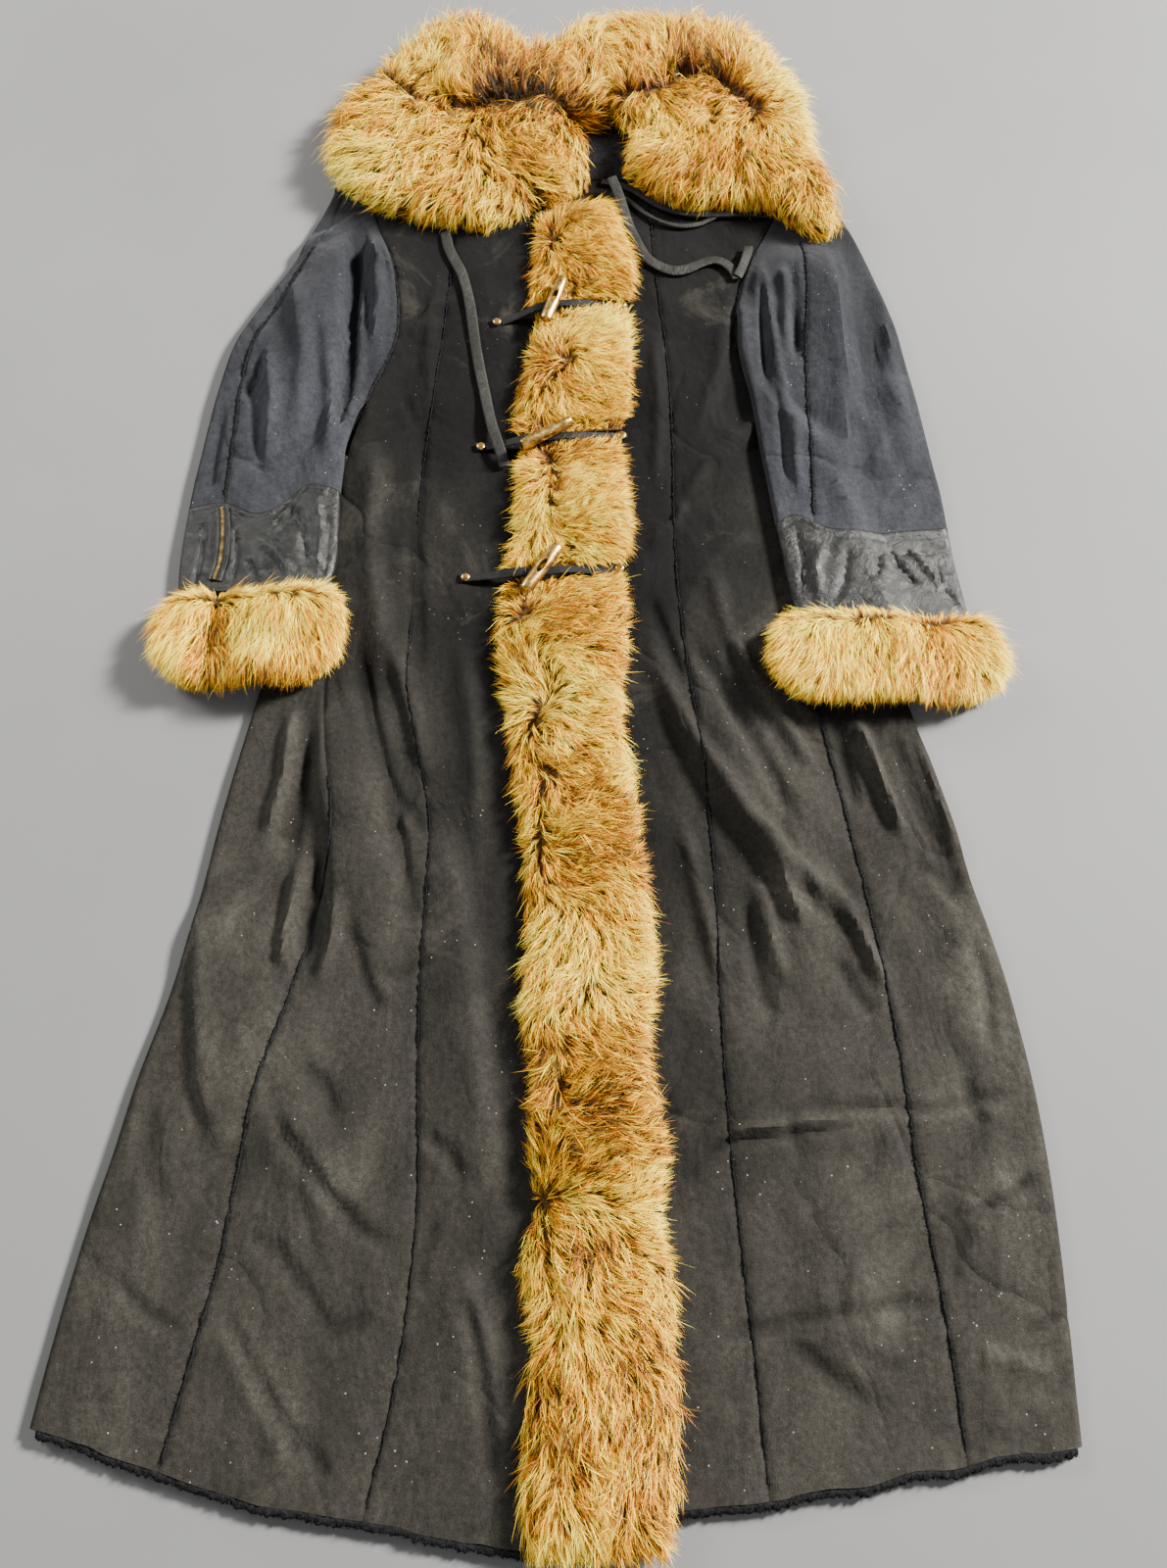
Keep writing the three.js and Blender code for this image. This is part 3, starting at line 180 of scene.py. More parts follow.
leatherCuffs = {
    "R": table("down inner crease outer puff", [
        (418, -234, -347, -382, 5), (450, -232.5, -344, -383, 7), (485, -232, -342, -383, 8),
        (515, -237, -345, -381, 8),
    ]),
    "L": table("down inner crease outer puff", [
        (446, 183, 219, 350, 5), (480, 187, 224, 352, 7), (512, 191, 229, 356, 8), (544, 196, 234, 360, 8),
    ]),
}
cuffFurs = {
    "R": table("down inner outer swell", [
        (515, -231, -374, 0.62), (526, -223, -389, 0.86), (545, -219, -396, 1), (565, -218, -397, 1),
        (586, -222, -391, 0.96), (603, -236, -376, 0.82), (614, -256, -350, 0.5),
    ]),
    "L": table("down inner outer swell", [
        (544, 184, 366, 0.62), (553, 175, 378, 0.86), (568, 170, 384, 1), (588, 168, 387, 1),
        (606, 173, 382, 0.94), (621, 186, 366, 0.8), (631, 206, 334, 0.5),
    ]),
}
hoodRimR = table("x down base lip", [
    (8, 14, 10, 8), (-16, 35, 10, 6), (-57, 51, 10, 6), (-98, 75, 10, 6), (-140, 71, 10, 6),
    (-181, 64, 10, 6), (-220, 49, 10, 6), (-252, 30, 10, 6), (-271, 0, 10, 6), (-280, -28, 1, 10),
    (-276, -76, 1, 12), (-257, -116, 1, 12), (-222, -157, 1, 12), (-192, -196, 1, 12), (-160, -224, 1, 12),
    (-127, -234, 1, 12), (-84, -208, 1, 12), (-37, -169, 1, 12), (-10, -200, 1, 12), (21, -229, 1, 14),
    (24.3, -190, 10, 26), (24.3, -130, 10, 26), (20, -88, 10, 12), (-16, -76, 10, 8), (0, -38, 10, 8),
])
hoodRimL = table("x down base lip", [
    (30, -88, 10, 12), (25.3, -130, 10, 26), (25.3, -190, 10, 26), (28, -230, 1, 14), (64, -232, 1, 12),
    (108, -231, 1, 12), (152, -222, 1, 12), (192, -200, 1, 12), (214, -160, 1, 12), (238, -118, 1, 12),
    (249, -72, 1, 12), (248, -28, 1, 10), (256, 10, 10, 8), (266, 42, 10, 6), (268, 72, 12, 5),
    (254, 90, 13, 5), (228, 76, 12, 5), (196, 50, 10, 6), (150, 49, 10, 6), (108, 48, 10, 6),
    (84, 38, 10, 6), (62, 22, 10, 6), (42, -2, 10, 8), (53, -40, 10, 8), (48, -60, 10, 8),
])
hoodEdge = table("x down", [
    (-258, -30), (-253, -72), (-236, -105), (-204, -140), (-175, -178), (-150, -202), (-127, -209),
    (-97, -189), (-46, -145), (0, -156), (24, -160), (50, -176), (80, -206), (112, -208), (152, -199),
    (179, -181), (196, -149), (216, -112), (227, -72), (226, -33), (212, -10), (188, 2), (100, 3.4),
    (0, 3.4), (-100, 3.4), (-190, 2), (-236, -8),
])
# Folds and creases: how high, how wide to one side and to the other, and then the places along it
bodyFolds = [
    (9, 95, 12, -322, 800, -318, 880, -306, 958, -278, 1030),
    (9, 70, 13, -236, 590, -229, 700, -216, 752, -201, 850),
    (11, 16, 60, -126, 730, -106, 830, -84, 958, -57, 1075),
    (6, 24, 24, -254, 973, -181, 1061),
    (5, 20, 22, -276, 1130, -242, 1176, -194, 1235),
    (7, 18, 24, -94, 1082, -81, 1123, -70, 1200),
    (6, 26, 34, -196, 560, -188, 700, -176, 900),
    (7, 34, 30, 70, 560, 143, 670, 232, 770),
    (7, 26, 30, 98, 640, 172, 761, 205, 900),
    (6, 20, 24, 317, 790, 327, 879, 315, 950),
    (3.5, 14, 18, 95, 1006, 160, 999, 306, 984, 350, 990),
    (5, 20, 20, 288, 1075, 340, 1045),
    (5, 34, 34, 190, 1010, 200, 1100, 215, 1220),
]
sleeveFolds = {
    "R": [
        (8, 4, 34, -251, 60, -248, 170, -249, 270, -247, 350),
        (-22, 7, 6, -240, 50, -237, 130, -238, 240, -241, 350),
        (9, 11, 8, -222, 70, -216, 120, -210, 180, -222, 270),
        (-4, 6, 6, -200, 84, -197, 130, -203, 180),
        (5, 22, 26, -290, 120, -285, 250, -300, 380),
    ],
    "L": [
        (9, 5, 26, 252, 86, 262, 160, 264, 262, 258, 330, 262, 400),
        (-7, 26, 8, 274, 80, 282, 170, 284, 280, 276, 380),
        (8, 7, 14, 184, 110, 188, 180, 196, 262, 204, 330),
        (-7, 8, 8, 214, 120, 214, 190, 216, 260),
        (5, 20, 22, 306, 260, 318, 380),
    ],
}
hoodFolds = [
    (-15, 20, 22, -215, -110, -168, -96, -130, -76, -92, -84, -50, -92),
    (-16, 18, 22, 70, -118, 100, -122, 140, -120, 176, -100),
    (-8, 16, 18, -30, -160, 0, -118),
]
bodyCreases = [
    (-3.0, 8, 12, -211, 551, -189, 649, -165, 733, -141, 841),
    (3.0, 14, 10, -179, 556, -154, 640, -137, 705),
    (3.2, 8, 9, -261, 625, -262, 696, -276, 768),
    (-2.2, 6, 7, -240, 649, -248, 724, -255, 777),
    (3.0, 8, 7, -240, 760, -249, 829, -250, 878),
    (-2.4, 6, 6, -224, 760, -230, 820, -234, 870),
    (2.4, 7, 7, -209, 799, -211, 845, -221, 887),
    (-1.8, 4, 7, -262, 942, -237, 1003, -203, 1039, -177, 1065, -138, 1082),
    (-1.4, 5, 8, -234, 942, -207, 965, -194, 997),
    (-1.8, 5, 8, -276, 1127, -251, 1163, -219, 1202, -195, 1235),
    (-1.3, 6, 9, -268, 1077, -235, 1086, -212, 1111, -191, 1137, -169, 1129, -162, 1108),
    (-1.0, 5, 6, -212, 1196, -194, 1221, -183, 1235),
    (-1.0, 4, 6, -179, 866, -157, 878, -125, 865, -93, 850),
    (-1.2, 6, 8, -130, 995, -106, 1010, -91, 1035),
    (-1.0, 5, 7, -114, 1052, -124, 1084, -124, 1110),
    (-2.0, 6, 9, -94, 1096, -81, 1130, -69, 1189, -64, 1222),
    (-1.2, 5, 6, -175, 705, -135, 751),
    (1.2, 5, 6, -162, 751, -132, 705),
    (-1.4, 6, 9, -201, 820, -181, 878, -163, 911),
    (-1.3, 8, 12, -349, 973, -340, 1032, -328, 1075),
    (-1.0, 7, 9, -366, 1123, -333, 1150, -295, 1160),
    (2.6, 14, 16, -204, 333, -205, 446, -181, 611),
    (-1.8, 7, 9, -167, 402, -157, 510, -149, 611),
    (-0.9, 5, 7, -161, 286, -158, 379, -156, 467),
    (1.6, 5, 6, -181, 219, -157, 183, -132, 162),
    (-1.0, 5, 7, -182, 286, -162, 333),
    (1.2, 9, 10, -150, 110, -157, 200, -156, 310),
    (1.6, 10, 12, -114, 551, -97, 668, -91, 760),
    (4.2, 9, 14, 54, 551, 92, 651, 142, 735, 197, 796, 244, 839),
    (-2.6, 10, 9, 95, 551, 144, 651, 191, 761),
    (2.4, 10, 9, 131, 551, 172, 630, 209, 705),
    (-2.0, 6, 6, 226, 635, 233, 687, 239, 735),
    (3.4, 7, 8, 242, 632, 262, 705, 279, 761),
    (-2.6, 7, 7, 274, 649, 291, 715, 309, 770, 324, 813),
    (2.0, 6, 6, 297, 654, 314, 715, 327, 777),
    (2.4, 6, 8, 154, 733, 171, 796, 186, 839),
    (-1.6, 5, 6, 166, 724, 182, 777, 199, 820),
    (2.6, 7, 8, 199, 770, 234, 839, 251, 888),
    (-1.4, 5, 6, 202, 847, 229, 896, 238, 909),
    (-1.8, 7, 7, 136, 795, 145, 878, 157, 912),
    (1.6, 6, 7, 146, 786, 158, 845, 170, 887),
    (2.0, 10, 10, 81, 724, 103, 820, 117, 887),
    (-1.6, 4, 4, 159, 985, 214, 981, 276, 986, 324, 977, 342, 973),
    (-1.6, 4, 5, 80, 1025, 112, 1007, 158, 1003, 197, 999, 231, 992),
    (1.0, 5, 5, 81, 1016, 114, 998, 159, 994, 207, 991),
    (-1.0, 4, 4, 164, 977, 167, 1003, 174, 1026),
    (-1.2, 4, 6, 308, 950, 311, 988, 322, 1004),
    (-1.6, 4, 5, 293, 1082, 329, 1062, 359, 1042),
    (-1.0, 4, 5, 294, 1081, 287, 1103, 280, 1132),
    (-1.3, 4, 4, 99, 1143, 150, 1142, 224, 1138, 282, 1140),
    (-1.4, 8, 8, 150, 1150, 178, 1178, 212, 1204),
    (-0.9, 6, 6, 198, 1163, 220, 1177, 242, 1191),
    (-1.2, 5, 6, 327, 1171, 368, 1160),
    (1.2, 9, 9, 292, 1183, 320, 1191, 356, 1202),
    (-0.9, 5, 6, 237, 1003, 225, 1034, 207, 1055),
    (-1.6, 7, 9, 324, 837, 333, 887, 330, 942),
    (-1.4, 5, 5, 281, 777, 304, 786, 322, 824),
    (1.6, 7, 7, 55, 470, 87, 437, 101, 411),
    (2.2, 10, 10, 89, 426, 121, 370, 161, 336, 178, 308),
    (1.6, 9, 9, 96, 510, 132, 470, 165, 446),
    (1.4, 8, 9, 73, 200, 75, 310, 69, 402),
    (1.4, 10, 12, 149, 162, 137, 262, 105, 345),
    (-1.6, 7, 8, 59, 510, 76, 561, 93, 611),
    (1.4, 9, 9, 116, 467, 133, 551, 155, 611),
]
sleeveCreases = {
    "R": [
        (2.4, 8, 9, -330, 198, -309, 297, -308, 378),
        (-2.2, 8, 8, -321, 213, -326, 264, -338, 297),
        (-1.2, 6, 7, -349, 250, -321, 321, -314, 389),
        (2.0, 12, 12, -299, 150, -278, 250, -280, 367),
        (1.8, 8, 9, -266, 175, -249, 297, -250, 389),
        (-3.0, 5, 6, -247, 97, -244, 175, -234, 274),
        (2.2, 5, 6, -229, 97, -211, 126, -195, 121),
        (-1.6, 5, 5, -233, 111, -218, 213, -216, 297),
        (-1.4, 6, 7, -358, 297, -362, 367, -362, 411),
        (1.2, 8, 8, -302, 111, -282, 87, -264, 73),
    ],
    "L": [
        (3.0, 8, 9, 208, 126, 211, 175, 200, 257),
        (-2.2, 5, 6, 185, 137, 184, 200, 184, 297),
        (1.8, 10, 10, 275, 297, 289, 344, 287, 389),
        (-1.4, 5, 6, 278, 378, 298, 414, 315, 391, 332, 371),
        (1.6, 10, 12, 311, 175, 312, 274, 319, 344),
        (1.4, 8, 8, 210, 297, 205, 367, 207, 425),
        (1.2, 7, 7, 233, 378, 252, 418, 264, 438),
        (-1.4, 8, 9, 294, 126, 299, 200, 297, 274),
        (-1.4, 5, 6, 190, 274, 195, 355, 197, 411),
    ],
}
cuffCreases = {
    "R": [
        (-1.6, 3, 4, -362, 433, -362, 476, -365, 514),
        (-1.4, 3, 4, -334, 433, -326, 476, -329, 514),
        (1.6, 6, 7, -309, 444, -289, 476, -268, 507),
        (-1.8, 4, 5, -285, 425, -265, 463, -256, 502),
        (1.4, 4, 5, -257, 420, -246, 465, -248, 507),
        (-1.4, 4, 5, -318, 476, -303, 507),
        (1.2, 4, 4, -309, 439, -284, 433, -259, 417),
    ],
    "L": [
        (-1.6, 3, 4, 285, 460, 304, 497, 314, 509),
        (1.6, 4, 5, 308, 463, 325, 492, 340, 520),
        (-1.4, 4, 4, 280, 463, 271, 509),
        (1.6, 6, 7, 225, 465, 215, 497, 217, 530),
        (-1.4, 4, 4, 200, 455, 207, 492, 203, 518),
        (-1.2, 4, 5, 249, 463, 242, 507, 231, 534),
        (-0.9, 3, 3, 296, 472, 336, 472),
        (-1.2, 3, 4, 329, 476, 335, 507, 351, 530),
    ],
}

# A crease narrower than narrowCrease would fall between two rows of points
clothSize = {
    "thick": 3.4,
    "bodyRise": 9.5,
    "sleeveRise": 9.5,
    "foldReach": 7.0,
    "seamGap": 0.3,
    "groove": 0.9,
    "pucker": 0.4,
    "underarm": 359.0,
    "hem": 1255.0,
    "undersideCrease": 1.1,
    "creaseDepth": 2.9,
    "narrowCrease": 6.8,
}
signOf = {"R": -1.0, "L": 1.0}
line = {}
for side, rows in (("R", rightHalf), ("L", leftHalf)):
    line[side] = {key: curve(rows["down"], rows[key]) for key in ("princess", "side", "edge")}
hemDown = curve(hemLine["x"], hemLine["down"])
placketRight = curve(placketEdges["down"], placketEdges["right"])
placketLeft = curve(placketEdges["down"], placketEdges["left"])
cuffJoins = {side: (sleeves[side]["down"][-1], curve(cuffLines[side]["x"], cuffLines[side]["down"]))
             for side in "RL"}


def middleAt(down):
    return (placketRight(down) + placketLeft(down)) / 2


# Height of one fold: a soft bump across its path that fades out at both ends
def foldRise(fold, x, down, narrowest=0.0):
    rise, outer, inner = fold[:3]
    path = np.reshape(fold[3:], (-1, 2))
    gap = np.full(np.shape(x), np.inf)
    onSide = np.ones(np.shape(x))
    along = np.zeros(np.shape(x))
    for i in range(len(path) - 1):
        ax, ad = path[i]
        dx = path[i + 1][0] - ax
        dd = path[i + 1][1] - ad
        t = np.clip(((x - ax) * dx + (down - ad) * dd) / (dx * dx + dd * dd), 0.0, 1.0)
        here = np.hypot(x - ax - t * dx, down - ad - t * dd)
        nearer = here < gap
        gap = np.where(nearer, here, gap)
        onSide = np.where(nearer, (x - ax) * dd - (down - ad) * dx, onSide)
        along = np.where(nearer, (i + t) / (len(path) - 1), along)
    width = np.maximum(np.where(onSide > 0, outer, inner), narrowest)
    ends = smooth(along / 0.25) * smooth((1 - along) / 0.25)
    return rise * ends * np.exp(-1.6 * (gap / width) ** 2)


def foldsAt(folds, x, down, narrowest=0.0):
    return sum(foldRise(fold, x, down, narrowest) for fold in folds)


# Where a point of a body row really lies. The suede ends at the hem, and the fleece shows past it.
def hemEdge(x):
    return hemDown(x) + 0.5 + 2.3 * softNoise(x, x * 0.0, 34.0, 9) + 0.8 * softNoise(x, x * 0.0, 12.0, 10)


def bodyDown(x, down):
    hem = clothSize["hem"]
    toHem = smooth((down - 900.0) / (hem - 900.0))
    toShoulder = smooth((90.0 - down) / 90.0)
    slope = 0.04 * np.maximum(0.0, np.abs(x) - 60.0)
    return down + toHem * (hemEdge(x) - hem) + toShoulder * slope


def bodyTop(x, down):
    fromPlacket = smooth((np.abs(x - middleAt(down)) - 62.0) / 34.0)
    belowSleeve = smooth((down - 560.0) / 110.0)
    inFromSleeve = smooth((165.0 - np.abs(x)) / 40.0)
    opened = fromPlacket * np.maximum(belowSleeve, inFromSleeve)
    return clothSize["bodyRise"] + opened * np.maximum(-0.6, foldsAt(bodyFolds, x, down))


# The front with its creases, and the small unevenness that cloth has when it is laid down by hand
def creasedTop(x, down):
    fromPlacket = smooth((np.abs(x - middleAt(down)) - 50.0) / 14.0)
    creases = clothSize["creaseDepth"] * foldsAt(bodyCreases, x, down, clothSize["narrowCrease"])
    uneven = 0.9 * softNoise(x * 1.5, down * 0.45, 46.0, 3) + 0.5 * softNoise(x, down * 0.5, 17.0, 4)
    slack = softNoise(x + 0.7 * down, 0.35 * (down - x), 27.0, 5)
    slack = 0.7 * slack * smooth(softNoise(x, down, 120.0, 6))
    return bodyTop(x, down) + fromPlacket * (np.clip(creases, -6.0, 11.0) + slack) + uneven - 0.5


def groundAt(side, rests, x, down):
    out = signOf[side] * (x - line[side]["edge"](down)) - 3.0
    return rests * np.clip(1.0 - out / 25.0, 0.0, 1.0)


# Meshes
def newMesh(name, points, quads, tris=None):
    tris = np.zeros((0, 3), dtype=int) if tris is None else tris
    mesh = bpy.data.meshes.new(name)
    mesh.vertices.add(len(points))
    mesh.vertices.foreach_set("co", (np.asarray(points) / 1000.0).astype(np.float32).ravel())
    corners = np.concatenate([quads.ravel(), tris.ravel()]).astype(np.int32)
    mesh.loops.add(len(corners))
    mesh.loops.foreach_set("vertex_index", corners)
    starts = np.concatenate([np.arange(len(quads)) * 4, len(quads) * 4 + np.arange(len(tris)) * 3])
    mesh.polygons.add(len(starts))
    mesh.polygons.foreach_set("loop_start", starts.astype(np.int32))
    mesh.update(calc_edges=True)
    mesh.shade_smooth()
    return mesh


def pointsOf(mesh):
    points = np.empty(len(mesh.vertices) * 3, dtype=np.float32)
    mesh.vertices.foreach_get("co", points)
    return points.reshape(-1, 3)


def setPoints(mesh, points):
    mesh.vertices.foreach_set("co", np.asarray(points, dtype=np.float32).ravel())
    mesh.update()


def gridQuads(index):
    corners = [index[:-1, :-1], index[:-1, 1:], index[1:, 1:], index[1:, :-1]]
    return np.stack(corners, axis=-1).reshape(-1, 4)


def openIndex(rows, columns):
    return np.arange(rows * columns).reshape(rows, columns)


def closedIndex(rows, around):
    index = openIndex(rows, around)
    return np.concatenate([index, index[:, :1]], axis=1)


# Faces of a tube of closed rings, with a fan to one more point at each end
def tubeFaces(rows, around):
    index = closedIndex(rows, around)
    first, last = np.full(around, rows * around), np.full(around, rows * around + 1)
    tris = np.concatenate([np.stack([first, index[0, 1:], index[0, :-1]], axis=1),
                           np.stack([last, index[-1, :-1], index[-1, 1:]], axis=1)])
    return gridQuads(index), tris


triangleCount = {"all": 0}


def addPiece(name, mesh, material, nodes=(), sharpDegrees=48.0):
    if sharpDegrees:
        mesh.set_sharp_from_angle(angle=math.radians(sharpDegrees))
    mesh.materials.append(material)
    piece = addObject(name, mesh)
    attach(piece, "root")
    if nodes:
        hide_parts(*nodes)
    triangles = len(mesh.loops) - 2 * len(mesh.polygons)
    triangleCount["all"] += triangles
    print(name, triangles, "triangles")
    return piece


def innerPicks(count, every, ring=False):
    picks = list(range(0, count, every))
    if not ring and picks[-1] != count - 1:
        picks.append(count - 1)
    return picks


# Faces of a closed body between two grids of points. The inner one uses only every few rows and columns
# of its grid. A ring's last column joins its first.
def gridFaces(rows, cols, ring=False, every=3):
    rowPicks, colPicks = innerPicks(rows, every), innerPicks(cols, every, ring)
    indexOf = closedIndex if ring else openIndex
    index, low = indexOf(rows, cols), rows * cols + indexOf(len(rowPicks), len(colPicks))
    colPicks = colPicks + [cols] if ring else colPicks
    quads = np.concatenate([gridQuads(index), gridQuads(low)[:, [0, 3, 2, 1]]])
    tris = []

    def joinBorder(fine, coarse, picks, turn):
        for k in range(len(picks) - 1):
            for i in range(picks[k], picks[k + 1]):
                tris.append([fine[i], coarse[k], fine[i + 1]][::turn])
            tris.append([coarse[k], coarse[k + 1], fine[picks[k + 1]]][::turn])

    joinBorder(index[0], low[0], colPicks, 1)
    joinBorder(index[-1], low[-1], colPicks, -1)
    if not ring:
        joinBorder(index[:, 0], low[:, 0], rowPicks, -1)
        joinBorder(index[:, -1], low[:, -1], rowPicks, 1)
    return quads, np.array(tris, dtype=int)


# Faces of a closed body turned outwards, by the sign of its volume
def turnedOut(points, quads, tris):
    a, b, c, d = (points[quads[:, k]] for k in range(4))
    volume = np.einsum("ij,ij->i", a, np.cross(b, c)).sum() + np.einsum("ij,ij->i", a, np.cross(c, d)).sum()
    return (quads[:, ::-1], tris[:, ::-1]) if volume < 0 else (quads, tris)


# Faces turned so that the first of them look up
def turnedUp(points, quads, tris, first):
    normals = np.cross(points[quads[:, 1]] - points[quads[:, 0]], points[quads[:, 2]] - points[quads[:, 0]])
    return (quads[:, ::-1], tris[:, ::-1]) if normals[:first, 2].sum() < 0 else (quads, tris)


def closedGrid(name, outer, inner, ring=False, every=3):
    rows, cols = outer.shape[:2]
    low = inner[innerPicks(rows, every)][:, innerPicks(cols, every, ring)]
    points = np.concatenate([outer.reshape(-1, 3), low.reshape(-1, 3)])
    return newMesh(name, points, *turnedOut(points, *gridFaces(rows, cols, ring, every)))


def stacked(x, down, z):
    return np.stack(np.broadcast_arrays(x, yOf(down), z), axis=-1)


# The cut that a laid piece was made from, measured along its outer layer
def cutOf(outer, ring=False):
    across = np.linalg.norm(np.diff(outer, axis=1), axis=-1)
    if ring:
        across = np.concatenate([across, np.linalg.norm(outer[:, :1] - outer[:, -1:], axis=-1)], axis=1)
    width = across.sum(axis=1)
    length = np.linalg.norm(np.diff(outer, axis=0), axis=-1).sum(axis=0)
    rowStep = np.linalg.norm(np.diff(outer, axis=0), axis=-1).mean(axis=1)
    area = (0.5 * (width[1:] + width[:-1]) * rowStep).sum()
    return width.max() / 1000.0, length.max() / 1000.0, area / 1e6


def addSheet(name, node, outer, inner, material, ring=False):
    piece = addPiece(name, closedGrid(name, outer, inner, ring), material, [node])
    width, length, area = cutOf(outer, ring)
    area = min(area, width * length)


# Materials
def paint(red, green, blue, alpha=1.0):
    def linear(v):
        v = v / 255.0
        return v / 12.92 if v <= 0.04045 else ((v + 0.055) / 1.055) ** 2.4

    return (linear(red), linear(green), linear(blue), alpha)


def newMaterial(name):
    material = bpy.data.materials.new(name)
    material.use_nodes = True
    return material, material.node_tree, material.node_tree.nodes["Principled BSDF"]


def setSockets(tree, node, sockets):
    for key, value in sockets.items():
        if isinstance(value, bpy.types.NodeSocket):
            tree.links.new(value, node.inputs[key])
        else:
            node.inputs[key].default_value = value


def addNode(tree, kind, sockets=None, **settings):
    node = tree.nodes.new(kind)
    for key, value in settings.items():
        setattr(node, key, value)
    setSockets(tree, node, sockets or {})
    return node


def placeOf(tree, stretch=(1.0, 1.0, 1.0)):
    coords = addNode(tree, "ShaderNodeTexCoord")
    mapping = addNode(tree, "ShaderNodeMapping", {"Vector": coords.outputs["Object"], "Scale": stretch})
    return mapping.outputs["Vector"]


def noise(tree, place, scale, detail=3.0, rough=0.55, twist=0.0):
    node = addNode(tree, "ShaderNodeTexNoise", {
        "Vector": place, "Scale": scale, "Detail": detail, "Roughness": rough, "Distortion": twist})
    return node.outputs["Fac"]


def cellEdges(tree, place, scale):
    node = addNode(tree, "ShaderNodeTexVoronoi", {"Vector": place, "Scale": scale},
                   feature="DISTANCE_TO_EDGE")
    return node.outputs["Distance"]


def ramp(tree, factor, stops):
    node = addNode(tree, "ShaderNodeValToRGB", {"Fac": factor})
    band = node.color_ramp
    while len(band.elements) < len(stops):
        band.elements.new(0.5)
    for element, (at, color) in zip(band.elements, stops):
        element.position = at
        element.color = color if hasattr(color, "__len__") else (color, color, color, 1.0)
    return node.outputs["Color"]


def blend(tree, factor, a, b, way="MIX"):
    node = addNode(tree, "ShaderNodeMix", data_type="RGBA", blend_type=way)
    setSockets(tree, node, {0: factor, 6: a, 7: b})
    return node.outputs[2]


def calc(tree, way, a, b=0.0, kind="Math"):
    return addNode(tree, f"ShaderNode{kind}", {0: a, 1: b}, operation=way).outputs[0]


def bump(tree, height, strength, distance, below=None):
    sockets = {"Height": height, "Strength": strength, "Distance": distance}
    if below is not None:
        sockets["Normal"] = below
    return addNode(tree, "ShaderNodeBump", sockets).outputs["Normal"]


suedeLook = {
    "upper": paint(12, 11, 10),
    "lower": paint(47, 45, 40),
    "dust": paint(88, 85, 76),
    "lint": paint(158, 153, 138),
    "from": 0.30,
    "to": -0.72,
    "sheen": 0.025,
    "creases": 8.5,
}
sleeveLook = {
    "upper": paint(16, 17, 19),
    "lower": paint(37, 38, 42),
    "dust": paint(76, 77, 80),
    "lint": paint(160, 156, 146),
    "from": 0.50,
    "to": 0.02,
    "sheen": 0.1,
    "creases": 11.0,
}


def wavy(tree, place, scale, reach):
    field = addNode(tree, "ShaderNodeTexNoise", {"Vector": place, "Scale": scale, "Detail": 3.0})
    centred = calc(tree, "SUBTRACT", field.outputs["Color"], (0.5, 0.5, 0.5), "VectorMath")
    moved = calc(tree, "MULTIPLY", centred, (reach, reach, reach), "VectorMath")
    return calc(tree, "ADD", place, moved, "VectorMath")


